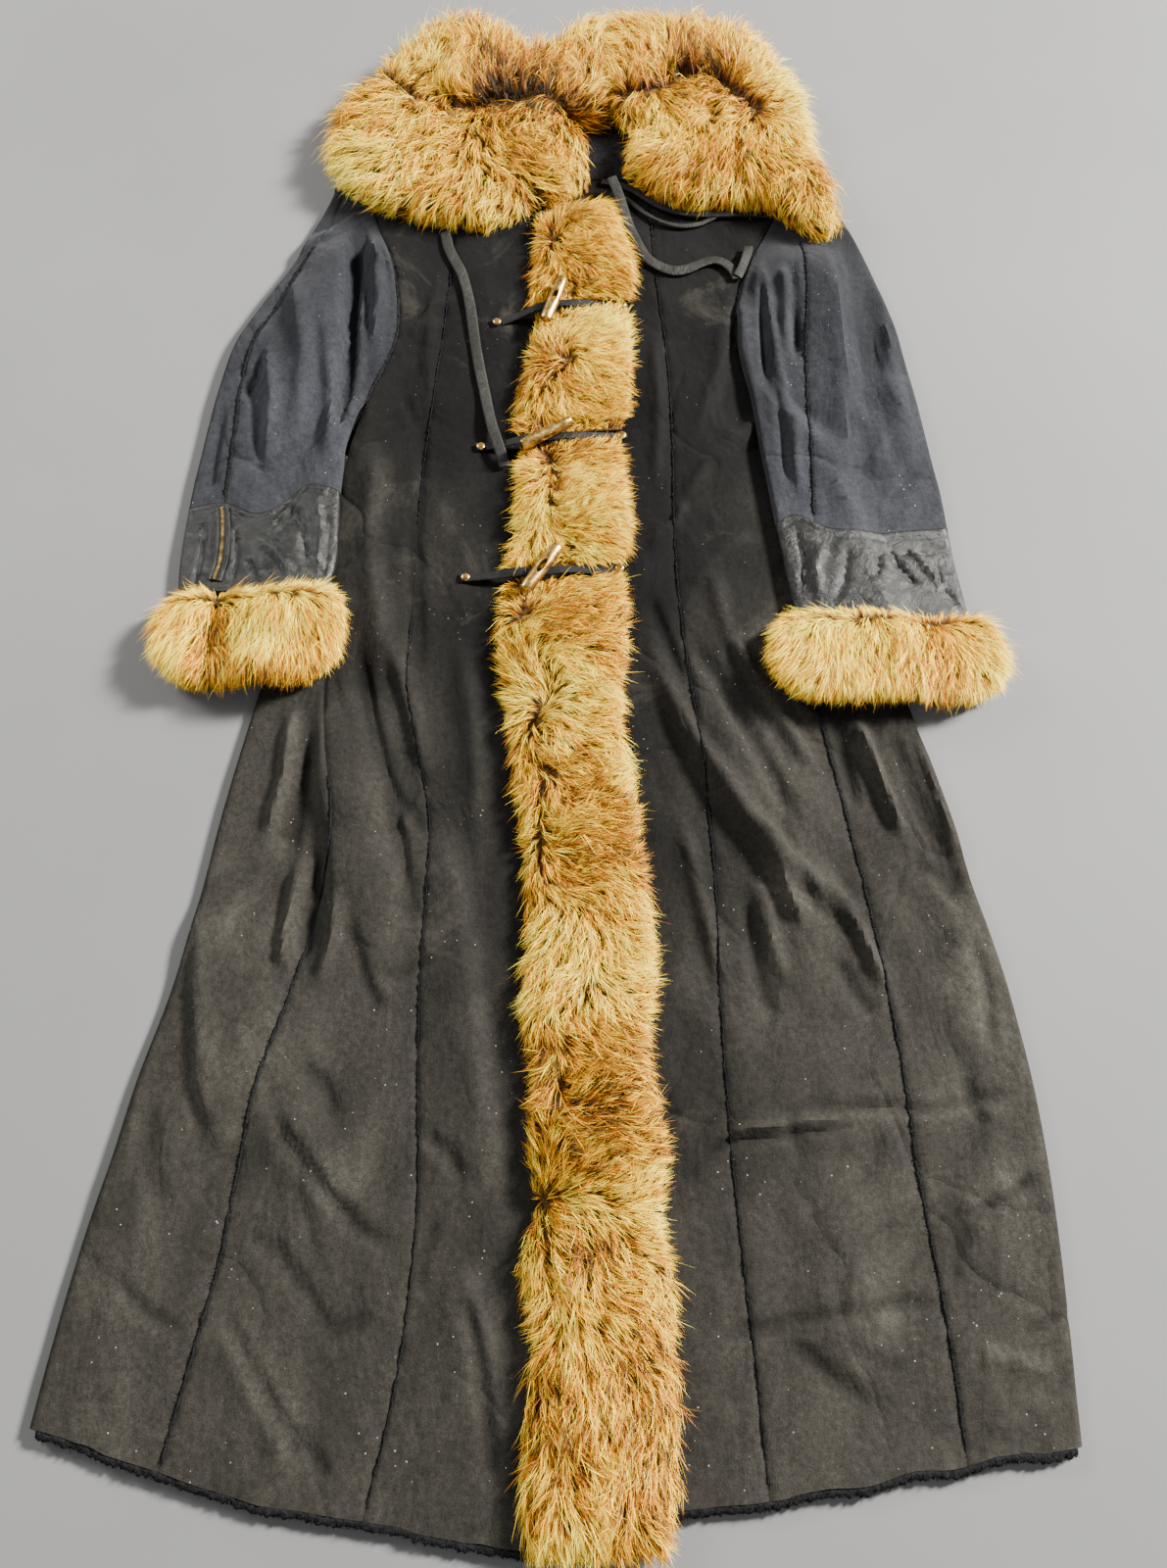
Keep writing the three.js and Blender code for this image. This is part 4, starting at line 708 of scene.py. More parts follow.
def makeSuede(name, look):
    material, tree, shader = newMaterial(name)
    place = placeOf(tree)
    brushed = placeOf(tree, (1.0, 0.45, 1.0))
    parts = addNode(tree, "ShaderNodeSeparateXYZ", {"Vector": place})
    height = addNode(tree, "ShaderNodeMapRange", {
        "Value": parts.outputs["Y"], "From Min": look["from"], "From Max": look["to"], "To Min": 0.0,
        "To Max": 1.0})
    # Painted shade beside the raised fur band: the suede is darker towards the middle and lighter further out
    paintedShadeNearMiddle = calc(tree, "MULTIPLY", calc(tree, "ABSOLUTE", parts.outputs["X"]), 2.0)
    wander = calc(tree, "SUBTRACT", noise(tree, place, 7.0, 5.0), 0.82)
    share = calc(tree, "ADD", calc(tree, "ADD", height.outputs["Result"], wander), paintedShadeNearMiddle)
    base = ramp(tree, share, [(0.05, look["upper"]), (1.0, look["lower"])])
    # Painted shade and light by height: the suede is darker where it lies low in the troughs and lighter on
    # the raised folds
    paintedShadeByHeight = addNode(tree, "ShaderNodeMapRange", {
        "Value": parts.outputs["Z"], "From Min": 0.005, "From Max": 0.0135, "To Min": 0.5, "To Max": 1.15})
    nap = ramp(tree, noise(tree, brushed, 16.0, 6.0, 0.62, 0.5), [(0.28, 0.62), (0.5, 0.98), (0.74, 1.45)])
    mottle = ramp(tree, noise(tree, place, 200.0, 5.0, 0.7), [(0.3, 0.66), (0.7, 1.38)])
    grain = ramp(tree, noise(tree, place, 900.0, 2.0), [(0.3, 0.7), (0.7, 1.35)])
    color = base
    for layer in (nap, paintedShadeByHeight.outputs["Result"], mottle, grain):
        color = blend(tree, 1.0, color, layer, "MULTIPLY")
    dusty = ramp(tree, noise(tree, place, 9.0, 7.0, 0.7, 0.8), [(0.58, 0.0), (0.8, 0.35)])
    color = blend(tree, dusty, color, look["dust"])
    speck = addNode(tree, "ShaderNodeTexVoronoi", {"Vector": place, "Scale": 120.0, "Randomness": 1.0})
    dots = ramp(tree, speck.outputs["Distance"], [(0.05, 0.9), (0.085, 0.0)])
    few = ramp(tree, noise(tree, place, 21.0, 3.0), [(0.5, 0.0), (0.58, 1.0)])
    low = ramp(tree, height.outputs["Result"], [(0.1, 0.3), (0.9, 1.0)])
    lint = blend(tree, 1.0, blend(tree, 1.0, dots, few, "MULTIPLY"), low, "MULTIPLY")
    color = blend(tree, lint, color, look["lint"])
    # Crease lines: a bump, and painted shade that darkens the suede along the lines, in patches
    crease = ramp(tree, cellEdges(tree, wavy(tree, place, 11.0, 0.055), look["creases"]),
                  [(0.0, 0.0), (0.05, 0.45), (0.3, 1.0)])
    where = ramp(tree, noise(tree, place, 4.5, 3.0), [(0.42, 0.0), (0.6, 1.0)])
    creaseShadeAndBump = blend(tree, where, paint(255, 255, 255), crease)
    color = blend(tree, 0.18, color, creaseShadeAndBump, "MULTIPLY")
    rough = ramp(tree, noise(tree, brushed, 30.0, 4.0), [(0.3, 0.82), (0.7, 1.0)])
    folded = bump(tree, creaseShadeAndBump, 0.5, 0.005)
    wide = bump(tree, noise(tree, placeOf(tree, (1.0, 0.55, 1.0)), 15.0, 3.0, 0.5, 0.9), 0.5, 0.012, folded)
    soft = bump(tree, noise(tree, brushed, 46.0, 5.0, 0.6, 0.5), 0.45, 0.004, wide)
    fine = bump(tree, noise(tree, place, 900.0, 3.0), 0.4, 0.0007, soft)
    setSockets(tree, shader, {
        "Base Color": color, "Roughness": rough, "Normal": fine, "Specular IOR Level": 0.1,
        "Sheen Weight": look["sheen"], "Sheen Roughness": 0.5, "Sheen Tint": paint(200, 200, 202)})
    return material


leatherLook = {"base": paint(14, 15, 14), "pale": paint(34, 34, 31), "scuff": paint(120, 118, 110)}


def makeLeather(name, look, rough=(0.3, 0.52), scuffed=0.45, gloss=0.24):
    material, tree, shader = newMaterial(name)
    place = placeOf(tree)
    base = ramp(tree, noise(tree, place, 28.0, 6.0, 0.62, 0.6), [(0.3, look["base"]), (0.78, look["pale"])])
    thread = placeOf(tree, (1.0, 0.16, 1.0))
    marks = ramp(tree, noise(tree, thread, 130.0, 6.0, 0.75, 0.9), [(0.66, 0.0), (0.78, scuffed)])
    worn = ramp(tree, noise(tree, place, 22.0, 2.0), [(0.45, 0.0), (0.6, 1.0)])
    color = blend(tree, blend(tree, 1.0, marks, worn, "MULTIPLY"), base, look["scuff"])
    wrinkle = bump(tree, noise(tree, place, 62.0, 7.0, 0.68, 1.6), 0.75, 0.0030)
    grain = bump(tree, cellEdges(tree, place, 620.0), 0.35, 0.0005, wrinkle)
    shine = ramp(tree, noise(tree, place, 40.0, 5.0), [(0.3, rough[0]), (0.7, rough[1])])
    setSockets(tree, shader, {"Base Color": color, "Roughness": shine, "Normal": grain,
                              "Specular IOR Level": gloss})
    return material


fleeceLook = {"low": paint(9, 9, 10), "high": paint(30, 30, 32)}


def makeFleece(look):
    material, tree, shader = newMaterial("blackFleece")
    place = placeOf(tree)
    curls = noise(tree, place, 260.0, 4.0, 0.6, 0.7)
    color = ramp(tree, curls, [(0.3, look["low"]), (0.72, look["high"])])
    normal = bump(tree, curls, 0.8, 0.0025)
    rough = ramp(tree, noise(tree, place, 90.0), [(0.3, 0.88), (0.7, 1.0)])
    setSockets(tree, shader, {"Base Color": color, "Roughness": rough, "Normal": normal,
                              "Specular IOR Level": 0.1})
    return material


brassLook = {"bright": paint(222, 190, 118), "worn": paint(176, 140, 74), "dark": paint(92, 68, 36)}
zipLook = {"bright": paint(188, 162, 108), "worn": paint(140, 116, 68), "dark": paint(66, 54, 32)}


def makeBrass(name, look):
    material, tree, shader = newMaterial(name)
    place = placeOf(tree)
    patches = noise(tree, place, 160.0, 6.0, 0.65, 0.6)
    color = ramp(tree, patches, [(0.28, look["dark"]), (0.45, look["worn"]), (0.66, look["bright"])])
    rough = ramp(tree, noise(tree, place, 240.0, 5.0), [(0.3, 0.26), (0.7, 0.46)])
    normal = bump(tree, noise(tree, place, 520.0, 4.0), 0.25, 0.0004)
    setSockets(tree, shader, {"Base Color": color, "Roughness": rough, "Normal": normal, "Metallic": 1.0})
    return material


furLook = {
    "tones": [(0.0, paint(48, 39, 20)), (0.16, paint(98, 76, 30)), (0.3, paint(174, 98, 6)),
              (0.45, paint(230, 142, 6)), (0.62, paint(254, 192, 10)), (0.82, paint(255, 224, 34)),
              (1.0, paint(255, 242, 98))],
    # root and shade darken each strand's lower part: partly the fur's own roots, partly painted shade between
    # the locks
    "root": paint(30, 23, 9),
    "shade": paint(154, 104, 32),
}


# Strands take their colour from their own map: across it the tone, and up it the way from root to tip.
# Towards the root they darken, partly the fur's own darker roots and partly painted shade deep in the pile.
def makeFur(look):
    material, tree, shader = newMaterial("furStrands")
    uv = addNode(tree, "ShaderNodeUVMap", uv_map="OFBake")
    parts = addNode(tree, "ShaderNodeSeparateXYZ", {"Vector": uv.outputs["UV"]})
    tone = ramp(tree, parts.outputs["X"], look["tones"])
    paintedShadeTone = blend(tree, 0.85, tone, look["shade"], "MULTIPLY")
    lower = ramp(tree, parts.outputs["Y"], [(0.0, 0.0), (0.36, 1.0)])
    upper = ramp(tree, parts.outputs["Y"], [(0.22, 0.0), (0.68, 1.0)])
    color = blend(tree, lower, look["root"], paintedShadeTone)
    color = blend(tree, upper, color, tone)
    rough = ramp(tree, parts.outputs["X"], [(0.0, 0.62), (1.0, 0.5)])
    setSockets(tree, shader, {"Base Color": color, "Roughness": rough, "Specular IOR Level": 0.2})
    return material


# The pelt under the strands is dark, partly the underfur's own colour and partly painted shade deep in the
# pile
peltLook = {"low": paint(44, 33, 14), "middle": paint(92, 66, 26), "high": paint(150, 108, 46)}


def makePelt(look):
    material, tree, shader = newMaterial("furPelt")
    place = placeOf(tree)
    locks = noise(tree, place, 240.0, 6.0, 0.7, 0.8)
    color = ramp(tree, locks, [(0.28, look["low"]), (0.5, look["middle"]), (0.78, look["high"])])
    normal = bump(tree, locks, 0.9, 0.004)
    rough = ramp(tree, noise(tree, place, 60.0), [(0.3, 0.85), (0.7, 1.0)])
    setSockets(tree, shader, {"Base Color": color, "Roughness": rough, "Normal": normal,
                              "Specular IOR Level": 0.15})
    return material


suede = makeSuede("suede", suedeLook)
sleeveSuede = makeSuede("sleeveSuede", sleeveLook)
leather = makeLeather("cuffLeather", leatherLook)
tieLeather = makeLeather("tieLeather", {"base": paint(20, 20, 18), "pale": paint(42, 41, 36),
                                        "scuff": paint(90, 88, 78)}, (0.5, 0.72), 0.3, 0.2)
strapLeather = makeLeather("strapLeather", {"base": paint(11, 11, 11), "pale": paint(25, 25, 25),
                                            "scuff": paint(66, 64, 60)}, (0.55, 0.8), 0.2, 0.2)
fleece = makeFleece(fleeceLook)
brass = makeBrass("wornBrass", brassLook)
zipBrass = makeBrass("zipBrass", zipLook)
furStrands = makeFur(furLook)
furPelt = makePelt(peltLook)
print("materials made")


# Flat straps and ties
def smoothRoute(points, step):
    points = np.array(points, dtype=float)
    gaps = np.linalg.norm(np.diff(points, axis=0), axis=1)
    along = np.concatenate([[0.0], np.cumsum(gaps)])
    places = np.linspace(0.0, along[-1], max(4, int(round(along[-1] / step)) + 1))
    return np.stack([curve(along, points[:, k])(places) for k in range(3)], axis=1)


def lengthOf(route):
    return np.linalg.norm(np.diff(route, axis=0), axis=1).sum()


# A flat strap with rounded edges. roll tips it sideways, in radians, at each point of its route.
def strapMesh(name, route, width, thick, roll=None, around=12):
    way = unit(np.gradient(route, axis=0))
    across = unit(sideOf(way))
    up = np.cross(way, across)
    up *= np.sign(up[:, 2:3])
    roll = np.zeros(len(route)) if roll is None else roll
    side = across * np.cos(roll)[:, None] + up * np.sin(roll)[:, None]
    top = up * np.cos(roll)[:, None] - across * np.sin(roll)[:, None]
    angles = np.linspace(0.0, 2 * np.pi, around, endpoint=False)
    reach = np.sign(np.cos(angles)) * np.abs(np.cos(angles)) ** 0.55 * width / 2
    rise = np.sign(np.sin(angles)) * np.abs(np.sin(angles)) ** 0.7 * thick / 2
    rings = route[:, None] + side[:, None] * reach[None, :, None] + top[:, None] * rise[None, :, None]
    points = np.concatenate([rings.reshape(-1, 3), route[:1], route[-1:]])
    return newMesh(name, points, *tubeFaces(len(route), around))


tieSize = {"width": 11.0, "thick": 2.4, "lift": 0.9, "step": 3.0}
tieRouteR = [
    [-147, 79, 0], [-145, 90, 0], [-142, 102, 0], [-135, 118, 0], [-128, 133, 0], [-123, 150, 0],
    [-119, 168, 0], [-115, 193, 0], [-111, 222, 0], [-106, 252, 0], [-100, 282, 0], [-95, 308, 2],
    [-90, 331, 5.2], [-84, 352, 6], [-80, 364, 4.6], [-77, 375, 1],
]
tieRouteL = [
    [30, 16, 13], [36, 30, 9], [42, 48, 4], [48, 66, 0], [54, 84, 0], [60, 101, 0], [68, 115, 0],
    [80, 125, 0], [94, 131, 0], [108, 129, 0], [122, 122, 0], [134, 117, 0], [144, 118, 0],
    [152, 124, 0], [158, 133, 0], [161, 142, 0],
]
tieEndSize = {"width": 10.0, "thick": 2.2, "lift": 1.4, "roll": 0.5, "route": [
    [161, 140, 1.4], [166, 130, 2.6], [170, 118, 2.8], [173, 108, 2.0], [174, 100, 0.8],
]}


def onFront(rows, thick, lift):
    rows = np.array(rows, dtype=float)
    z = bodyTop(rows[:, 0], rows[:, 1]) + lift + thick / 2 + rows[:, 2]
    return np.stack([rows[:, 0], yOf(rows[:, 1]), z], axis=1)


def makeTie(name, rows, node, seed):
    route = smoothRoute(onFront(rows, tieSize["thick"], tieSize["lift"]), tieSize["step"])
    along = np.arange(len(route)) * tieSize["step"]
    roll = 0.16 * np.sin(along / 23.0 + seed) + 0.08 * np.sin(along / 9.0 + 2 * seed)
    mesh = strapMesh(name, route, tieSize["width"], tieSize["thick"], roll)
    piece = addPiece(name, mesh, tieLeather, [node])


def makeTieEnd(name, size):
    route = smoothRoute(onFront(size["route"], size["thick"], size["lift"]), 2.5)
    roll = size["roll"] * np.sin(np.linspace(0.5, 3.4, len(route)))
    return addPiece(name, strapMesh(name, route, size["width"], size["thick"], roll), tieLeather)


tieEnd = makeTieEnd("tie_end_L", tieEndSize)
makeTie("leather_tie_R", tieRouteR, "tie_R", 1.0)
makeTie("leather_tie_L", tieRouteL, "tie_L", 2.2)
print("ties made")


# Body panels. Their grids are closer together near the seams, where the suede dips and puckers.
def panelShares(columns):
    return np.concatenate([[0.0, 0.011, 0.032], np.linspace(0.06, 0.94, columns), [0.968, 0.989, 1.0]])


def seamDip(gap, down):
    groove = clothSize["groove"] * np.exp(-((gap / 2.0) ** 2)) + 0.6 * np.exp(-gap / 7.0)
    wave = np.sin(down / 7.3 + 2.0 * np.sin(down / 31.0)) + 0.6 * np.sin(down / 3.9)
    return groove - clothSize["pucker"] * wave * np.exp(-gap / 9.0)


def underCrease(x, down, seed):
    lifted = softNoise(x * 0.8, down * 0.5, 60.0, seed) + 0.6 * softNoise(x, down, 22.0, seed + 1)
    return clothSize["undersideCrease"] * smooth((lifted - 0.25) / 0.9)


# Rows of each panel's grid, and the heights between which its two faces stay
panelSize = {"top": 4.0, "frontRows": 286, "sideRows": 205, "backRows": 120, "faceLow": 5.4, "liningLow": 4.3,
             "underHigh": 3.9, "thin": 0.9}


def makeFrontPanel(node, fromLine, toLine, columns):
    down = np.linspace(panelSize["top"], clothSize["hem"], panelSize["frontRows"])[:, None]
    a = np.minimum(fromLine(down), toLine(down)) + clothSize["seamGap"] / 2
    b = np.maximum(fromLine(down), toLine(down)) - clothSize["seamGap"] / 2
    x = a + (b - a) * panelShares(columns)[None, :]
    down = np.broadcast_to(down, x.shape)
    dip = seamDip(np.minimum(x - a, b - x), down)
    top = np.maximum(creasedTop(x, down) - dip, panelSize["faceLow"])
    lining = np.clip(top - clothSize["thick"], panelSize["liningLow"], top - panelSize["thin"])
    outer = stacked(x, bodyDown(x, down), top)
    inner = stacked(x, bodyDown(x, down), lining)
    addSheet(f"cloth_{node}", node, outer, inner, suede)


def foldArc(edge, sign, ground, top, thick, steps, reach):
    high = (top - ground) / 2
    angle = np.pi / 2 - np.pi * np.arange(1, steps) / steps
    across, up = np.cos(angle)[None, :], np.sin(angle)[None, :]
    edge, ground, high = edge[:, None], ground[:, None], high[:, None]
    x = edge - sign * reach * (1 - across)
    z = ground + high + high * up
    xIn = edge - sign * reach + sign * (reach - thick) * across
    zIn = ground + high + np.maximum(high - thick, 0.3) * up
    return x, z, xIn, zIn


def backSeamAt(side, down):
    return line[side]["edge"](down) * mix(0.93, 0.62, smooth((down - clothSize["underarm"]) / 150.0))


def makeSidePanel(side):
    sign, thick, reach = signOf[side], clothSize["thick"], clothSize["foldReach"]
    rows = np.linspace(clothSize["underarm"], clothSize["hem"], panelSize["sideRows"])
    edge = line[side]["edge"](rows)
    bend = edge - sign * reach
    seam = line[side]["side"](rows) + sign * clothSize["seamGap"] / 2
    start = sign * np.minimum(sign * seam, sign * (bend - sign * 1.5))
    share = np.concatenate([[0.0, 0.02, 0.05], np.linspace(0.09, 1.0, 24)])
    x = start[:, None] + (bend - start)[:, None] * share[None, :]
    down = np.broadcast_to(rows[:, None], x.shape)
    z = np.maximum(creasedTop(x, down) - seamDip(np.abs(x - start[:, None]), down), panelSize["faceLow"])
    arcTop = creasedTop(bend, rows)
    ax, az, axIn, azIn = foldArc(edge, sign, np.zeros_like(rows), arcTop, thick, 9, reach)
    under = np.linspace(0.0, 1.0, 7)
    ux = bend[:, None] + (backSeamAt(side, rows) + sign * 0.15 - bend)[:, None] * under[None, :]
    uz = underCrease(ux, rows[:, None], 11) * smooth(under / 0.3)[None, :]
    zIn = np.maximum(z - thick, panelSize["liningLow"])
    uzIn = np.minimum(uz + thick, panelSize["underHigh"])
    xs, zs, xIn, zIn = (np.concatenate(parts, axis=1)
                        for parts in ([x, ax, ux], [z, az, uz], [x, axIn, ux], [zIn, azIn, uzIn]))
    down = np.broadcast_to(rows[:, None], xs.shape)
    outer = stacked(xs, bodyDown(xs, down), zs)
    inner = stacked(xIn, bodyDown(xIn, down), zIn)
    addSheet(f"cloth_side_back_{side}", f"side_back_{side}", outer, inner, suede)


def makeBack():
    rows = np.linspace(panelSize["top"], clothSize["hem"], panelSize["backRows"])
    ends = []
    for side in "RL":
        seam = np.where(rows >= clothSize["underarm"], backSeamAt(side, rows), line[side]["edge"](rows))
        ends.append(seam - signOf[side] * clothSize["seamGap"] / 2)
    x = ends[0][:, None] + (ends[1] - ends[0])[:, None] * np.linspace(0.0, 1.0, 26)[None, :]
    down = np.broadcast_to(rows[:, None], x.shape)
    low = underCrease(x, down, 21)
    outer = stacked(x, bodyDown(x, down), low)
    inner = stacked(x, bodyDown(x, down), np.minimum(low + clothSize["thick"], panelSize["underHigh"]))
    addSheet("cloth_back", "back", outer, inner, suede)


makeBack()
for side in "RL":
    makeSidePanel(side)
    makeFrontPanel(f"side_front_{side}", line[side]["side"], line[side]["princess"], 30)
    makeFrontPanel(f"centre_front_{side}", line[side]["princess"], middleAt, 42)
print("body panels made")


# Sleeves and leather cuffs
def rowReader(rows):
    return {key: curve(rows["down"], values) for key, values in rows.items() if key != "down"}


readSleeve = {side: rowReader(sleeves[side]) for side in "RL"}
readCuff = {side: rowReader(leatherCuffs[side]) for side in "RL"}


def sleeveRow(side, down):
    row = {key: float(read(down)) for key, read in readSleeve[side].items()}
    row["rests"] = min(max(row["rests"], 0.0), bodyClear)
    sewn = float(line[side]["edge"](down)) + signOf[side] * clothSize["seamGap"]
    row["inner"] = mix(sewn, row["inner"], float(smooth((row["rests"] - 5.0) / (bodyClear - 5.0))))
    return row


def cuffRow(side, down):
    row = {key: float(read(down)) for key, read in readCuff[side].items()}
    row["rests"] = bodyClear
    return row


def underPlaces(side, row, down, reach):
    sign = signOf[side]
    near = row["inner"] + sign * reach
    far = row["outer"] - sign * reach
    width = sign * (far - near)
    edge = min(max(sign * (float(line[side]["edge"](down)) + sign * 3.0 - near), 4.0), width - 37.0)
    return {"near": near, "far": far, "seam": mix(near + sign * (edge + 25.0), far, 0.5)}


def sleeveTop(side, row, x, down, creases):
    share = np.clip((x - row["inner"]) / (row["outer"] - row["inner"]), 0.0, 1.0)
    full = row["puff"] * np.sin(np.pi * share) ** 0.7
    at = np.full(np.shape(x), down)
    folds = smooth((down - 50.0) / 40.0) * smooth(share * 9.0) * foldsAt(sleeveFolds[side], x, at)
    fine = smooth((down - 60.0) / 30.0) * smooth(share * 12.0) * smooth((1 - share) * 12.0)
    uneven = 0.8 * softNoise(x * 1.4, at * 0.5, 34.0, 7) + 0.4 * softNoise(x, at * 0.6, 14.0, 8)
    made = clothSize["creaseDepth"] * foldsAt(creases[side], x, at)
    rise = clothSize["sleeveRise"] + full + folds + fine * (made + uneven - 0.3)
    return groundAt(side, row["rests"], x, down) + np.maximum(rise, 8.3)


def cuffDown(side, x, down):
    join, at = cuffJoins[side]
    return down + (at(x) - join) * smooth(1.0 - np.abs(down - join) / 90.0)


def wallRow(side, row, down, x, isTop, thick, creases, seamX=None):
    if isTop:
        z = sleeveTop(side, row, x, down, creases)
        if seamX is not None:
            z = z - seamDip(np.abs(x - seamX), np.full(x.shape, down))
        return x, z, x, z - thick
    z = groundAt(side, row["rests"], x, down) + underCrease(x, np.full(x.shape, down), 31) * 0.6
    return x, z, x, z + thick


def arcRow(side, row, down, edge, way, places, which, thick, creases, reach, steps=9):
    low = groundAt(side, row["rests"], places[which], down)
    high = sleeveTop(side, row, np.array([places[which]]), down, creases)[0]
    parts = foldArc(np.array([edge]), way, np.array([low]), np.array([high]), thick, steps, reach)
    return tuple(part[0] for part in parts)


# One row of a piece from its parts, of which each holds x and z outside and x and z inside
def addRow(rows, parts, downAt):
    x, z, xIn, zIn = (np.concatenate([part[k] for part in parts]) for k in range(4))
    rows[0].append(stacked(x, downAt(x), z))
    rows[1].append(stacked(xIn, downAt(xIn), zIn))


# The two pieces of a sleeve meet in the seam on its top, where their columns are closer together
sleeveCut = {
    "front": {"turn": 1.0, "place": "near", "edge": "inner", "bySeam": [0.0, 0.015, 0.04], "next": 0.08,
              "tops": 30, "unders": 9},
    "back": {"turn": -1.0, "place": "far", "edge": "outer", "bySeam": [0.0, 0.02, 0.06], "next": 0.12,
             "tops": 14, "unders": 5},
}
sleeveRows = {"R": 4.0, "L": 43.5, "count": 103}


def makeSleevePiece(side, part):
    sign, thick, reach = signOf[side], clothSize["thick"], clothSize["foldReach"]
    cut, node = sleeveCut[part], f"sleeve_{part}_{side}"
    shares = np.concatenate([cut["bySeam"], np.linspace(cut["next"], 1.0, cut["tops"])])
    rows = [], []
    for down in np.linspace(sleeveRows[side], cuffJoins[side][0] - 0.3, sleeveRows["count"]):
        row = sleeveRow(side, down)
        places = underPlaces(side, row, down, reach)
        half = cut["turn"] * sign * clothSize["seamGap"] / 2
        tops = row["seam"] - half + (places[cut["place"]] - row["seam"] + half) * shares
        unders = np.linspace(places[cut["place"]], places["seam"] - half, cut["unders"])
        addRow(rows, [
            wallRow(side, row, down, tops, True, thick, sleeveCreases, row["seam"]),
            arcRow(side, row, down, row[cut["edge"]], -cut["turn"] * sign, places, cut["place"], thick,
                   sleeveCreases, reach),
            wallRow(side, row, down, unders, False, thick, sleeveCreases),
        ], lambda x: cuffDown(side, x, bodyDown(x, down)))
    outer, inner = np.array(rows[0]), np.array(rows[1])
    addSheet(f"cloth_{node}", node, outer, inner, sleeveSuede)


# A roll and then a line of sewing run round the top of a leather cuff
leatherCuffSize = {"thick": 2.0, "rows": 40, "tops": 48, "unders": 14, "roll": 0.8, "rollAt": 3.0,
                   "rollWidth": 2.6, "sewn": 0.9, "sewnAt": 7.5, "sewnWidth": 1.6}


def makeLeatherCuff(side, size):
    sign, thick, reach = signOf[side], size["thick"], clothSize["foldReach"]
    first, last = leatherCuffs[side]["down"][0], leatherCuffs[side]["down"][-1]
    rows = [], []
    for down in np.linspace(first + 0.3, last - 0.15, size["rows"]):
        row = cuffRow(side, down)
        places = underPlaces(side, row, down, reach)
        near, far = places["near"], places["far"]
        hem = size["roll"] * np.exp(-((down - first - size["rollAt"]) / size["rollWidth"]) ** 2)
        hem -= size["sewn"] * np.exp(-((down - first - size["sewnAt"]) / size["sewnWidth"]) ** 2)
        tops = wallRow(side, row, down, np.linspace(far, near, size["tops"]), True, thick, cuffCreases)
        tops = (tops[0], tops[1] + hem, tops[2], tops[3] + hem)
        innerArc, outerArc = (
            arcRow(side, row, down, row[edge], way, places, which, thick, cuffCreases, reach)
            for edge, way, which in (("inner", -sign, "near"), ("outer", sign, "far")))
        unders = wallRow(side, row, down, np.linspace(near, far, size["unders"]), False, thick, cuffCreases)
        addRow(rows, [tops, innerArc, unders, tuple(part[::-1] for part in outerArc)],
               lambda x: cuffDown(side, x, down))
    addSheet(f"cuff_leather_{side}", f"leather_cuff_{side}", np.array(rows[0]), np.array(rows[1]), leather,
             True)


for side in "RL":
    makeSleevePiece(side, "front")
    makeSleevePiece(side, "back")
    makeLeatherCuff(side, leatherCuffSize)
print("sleeves made")


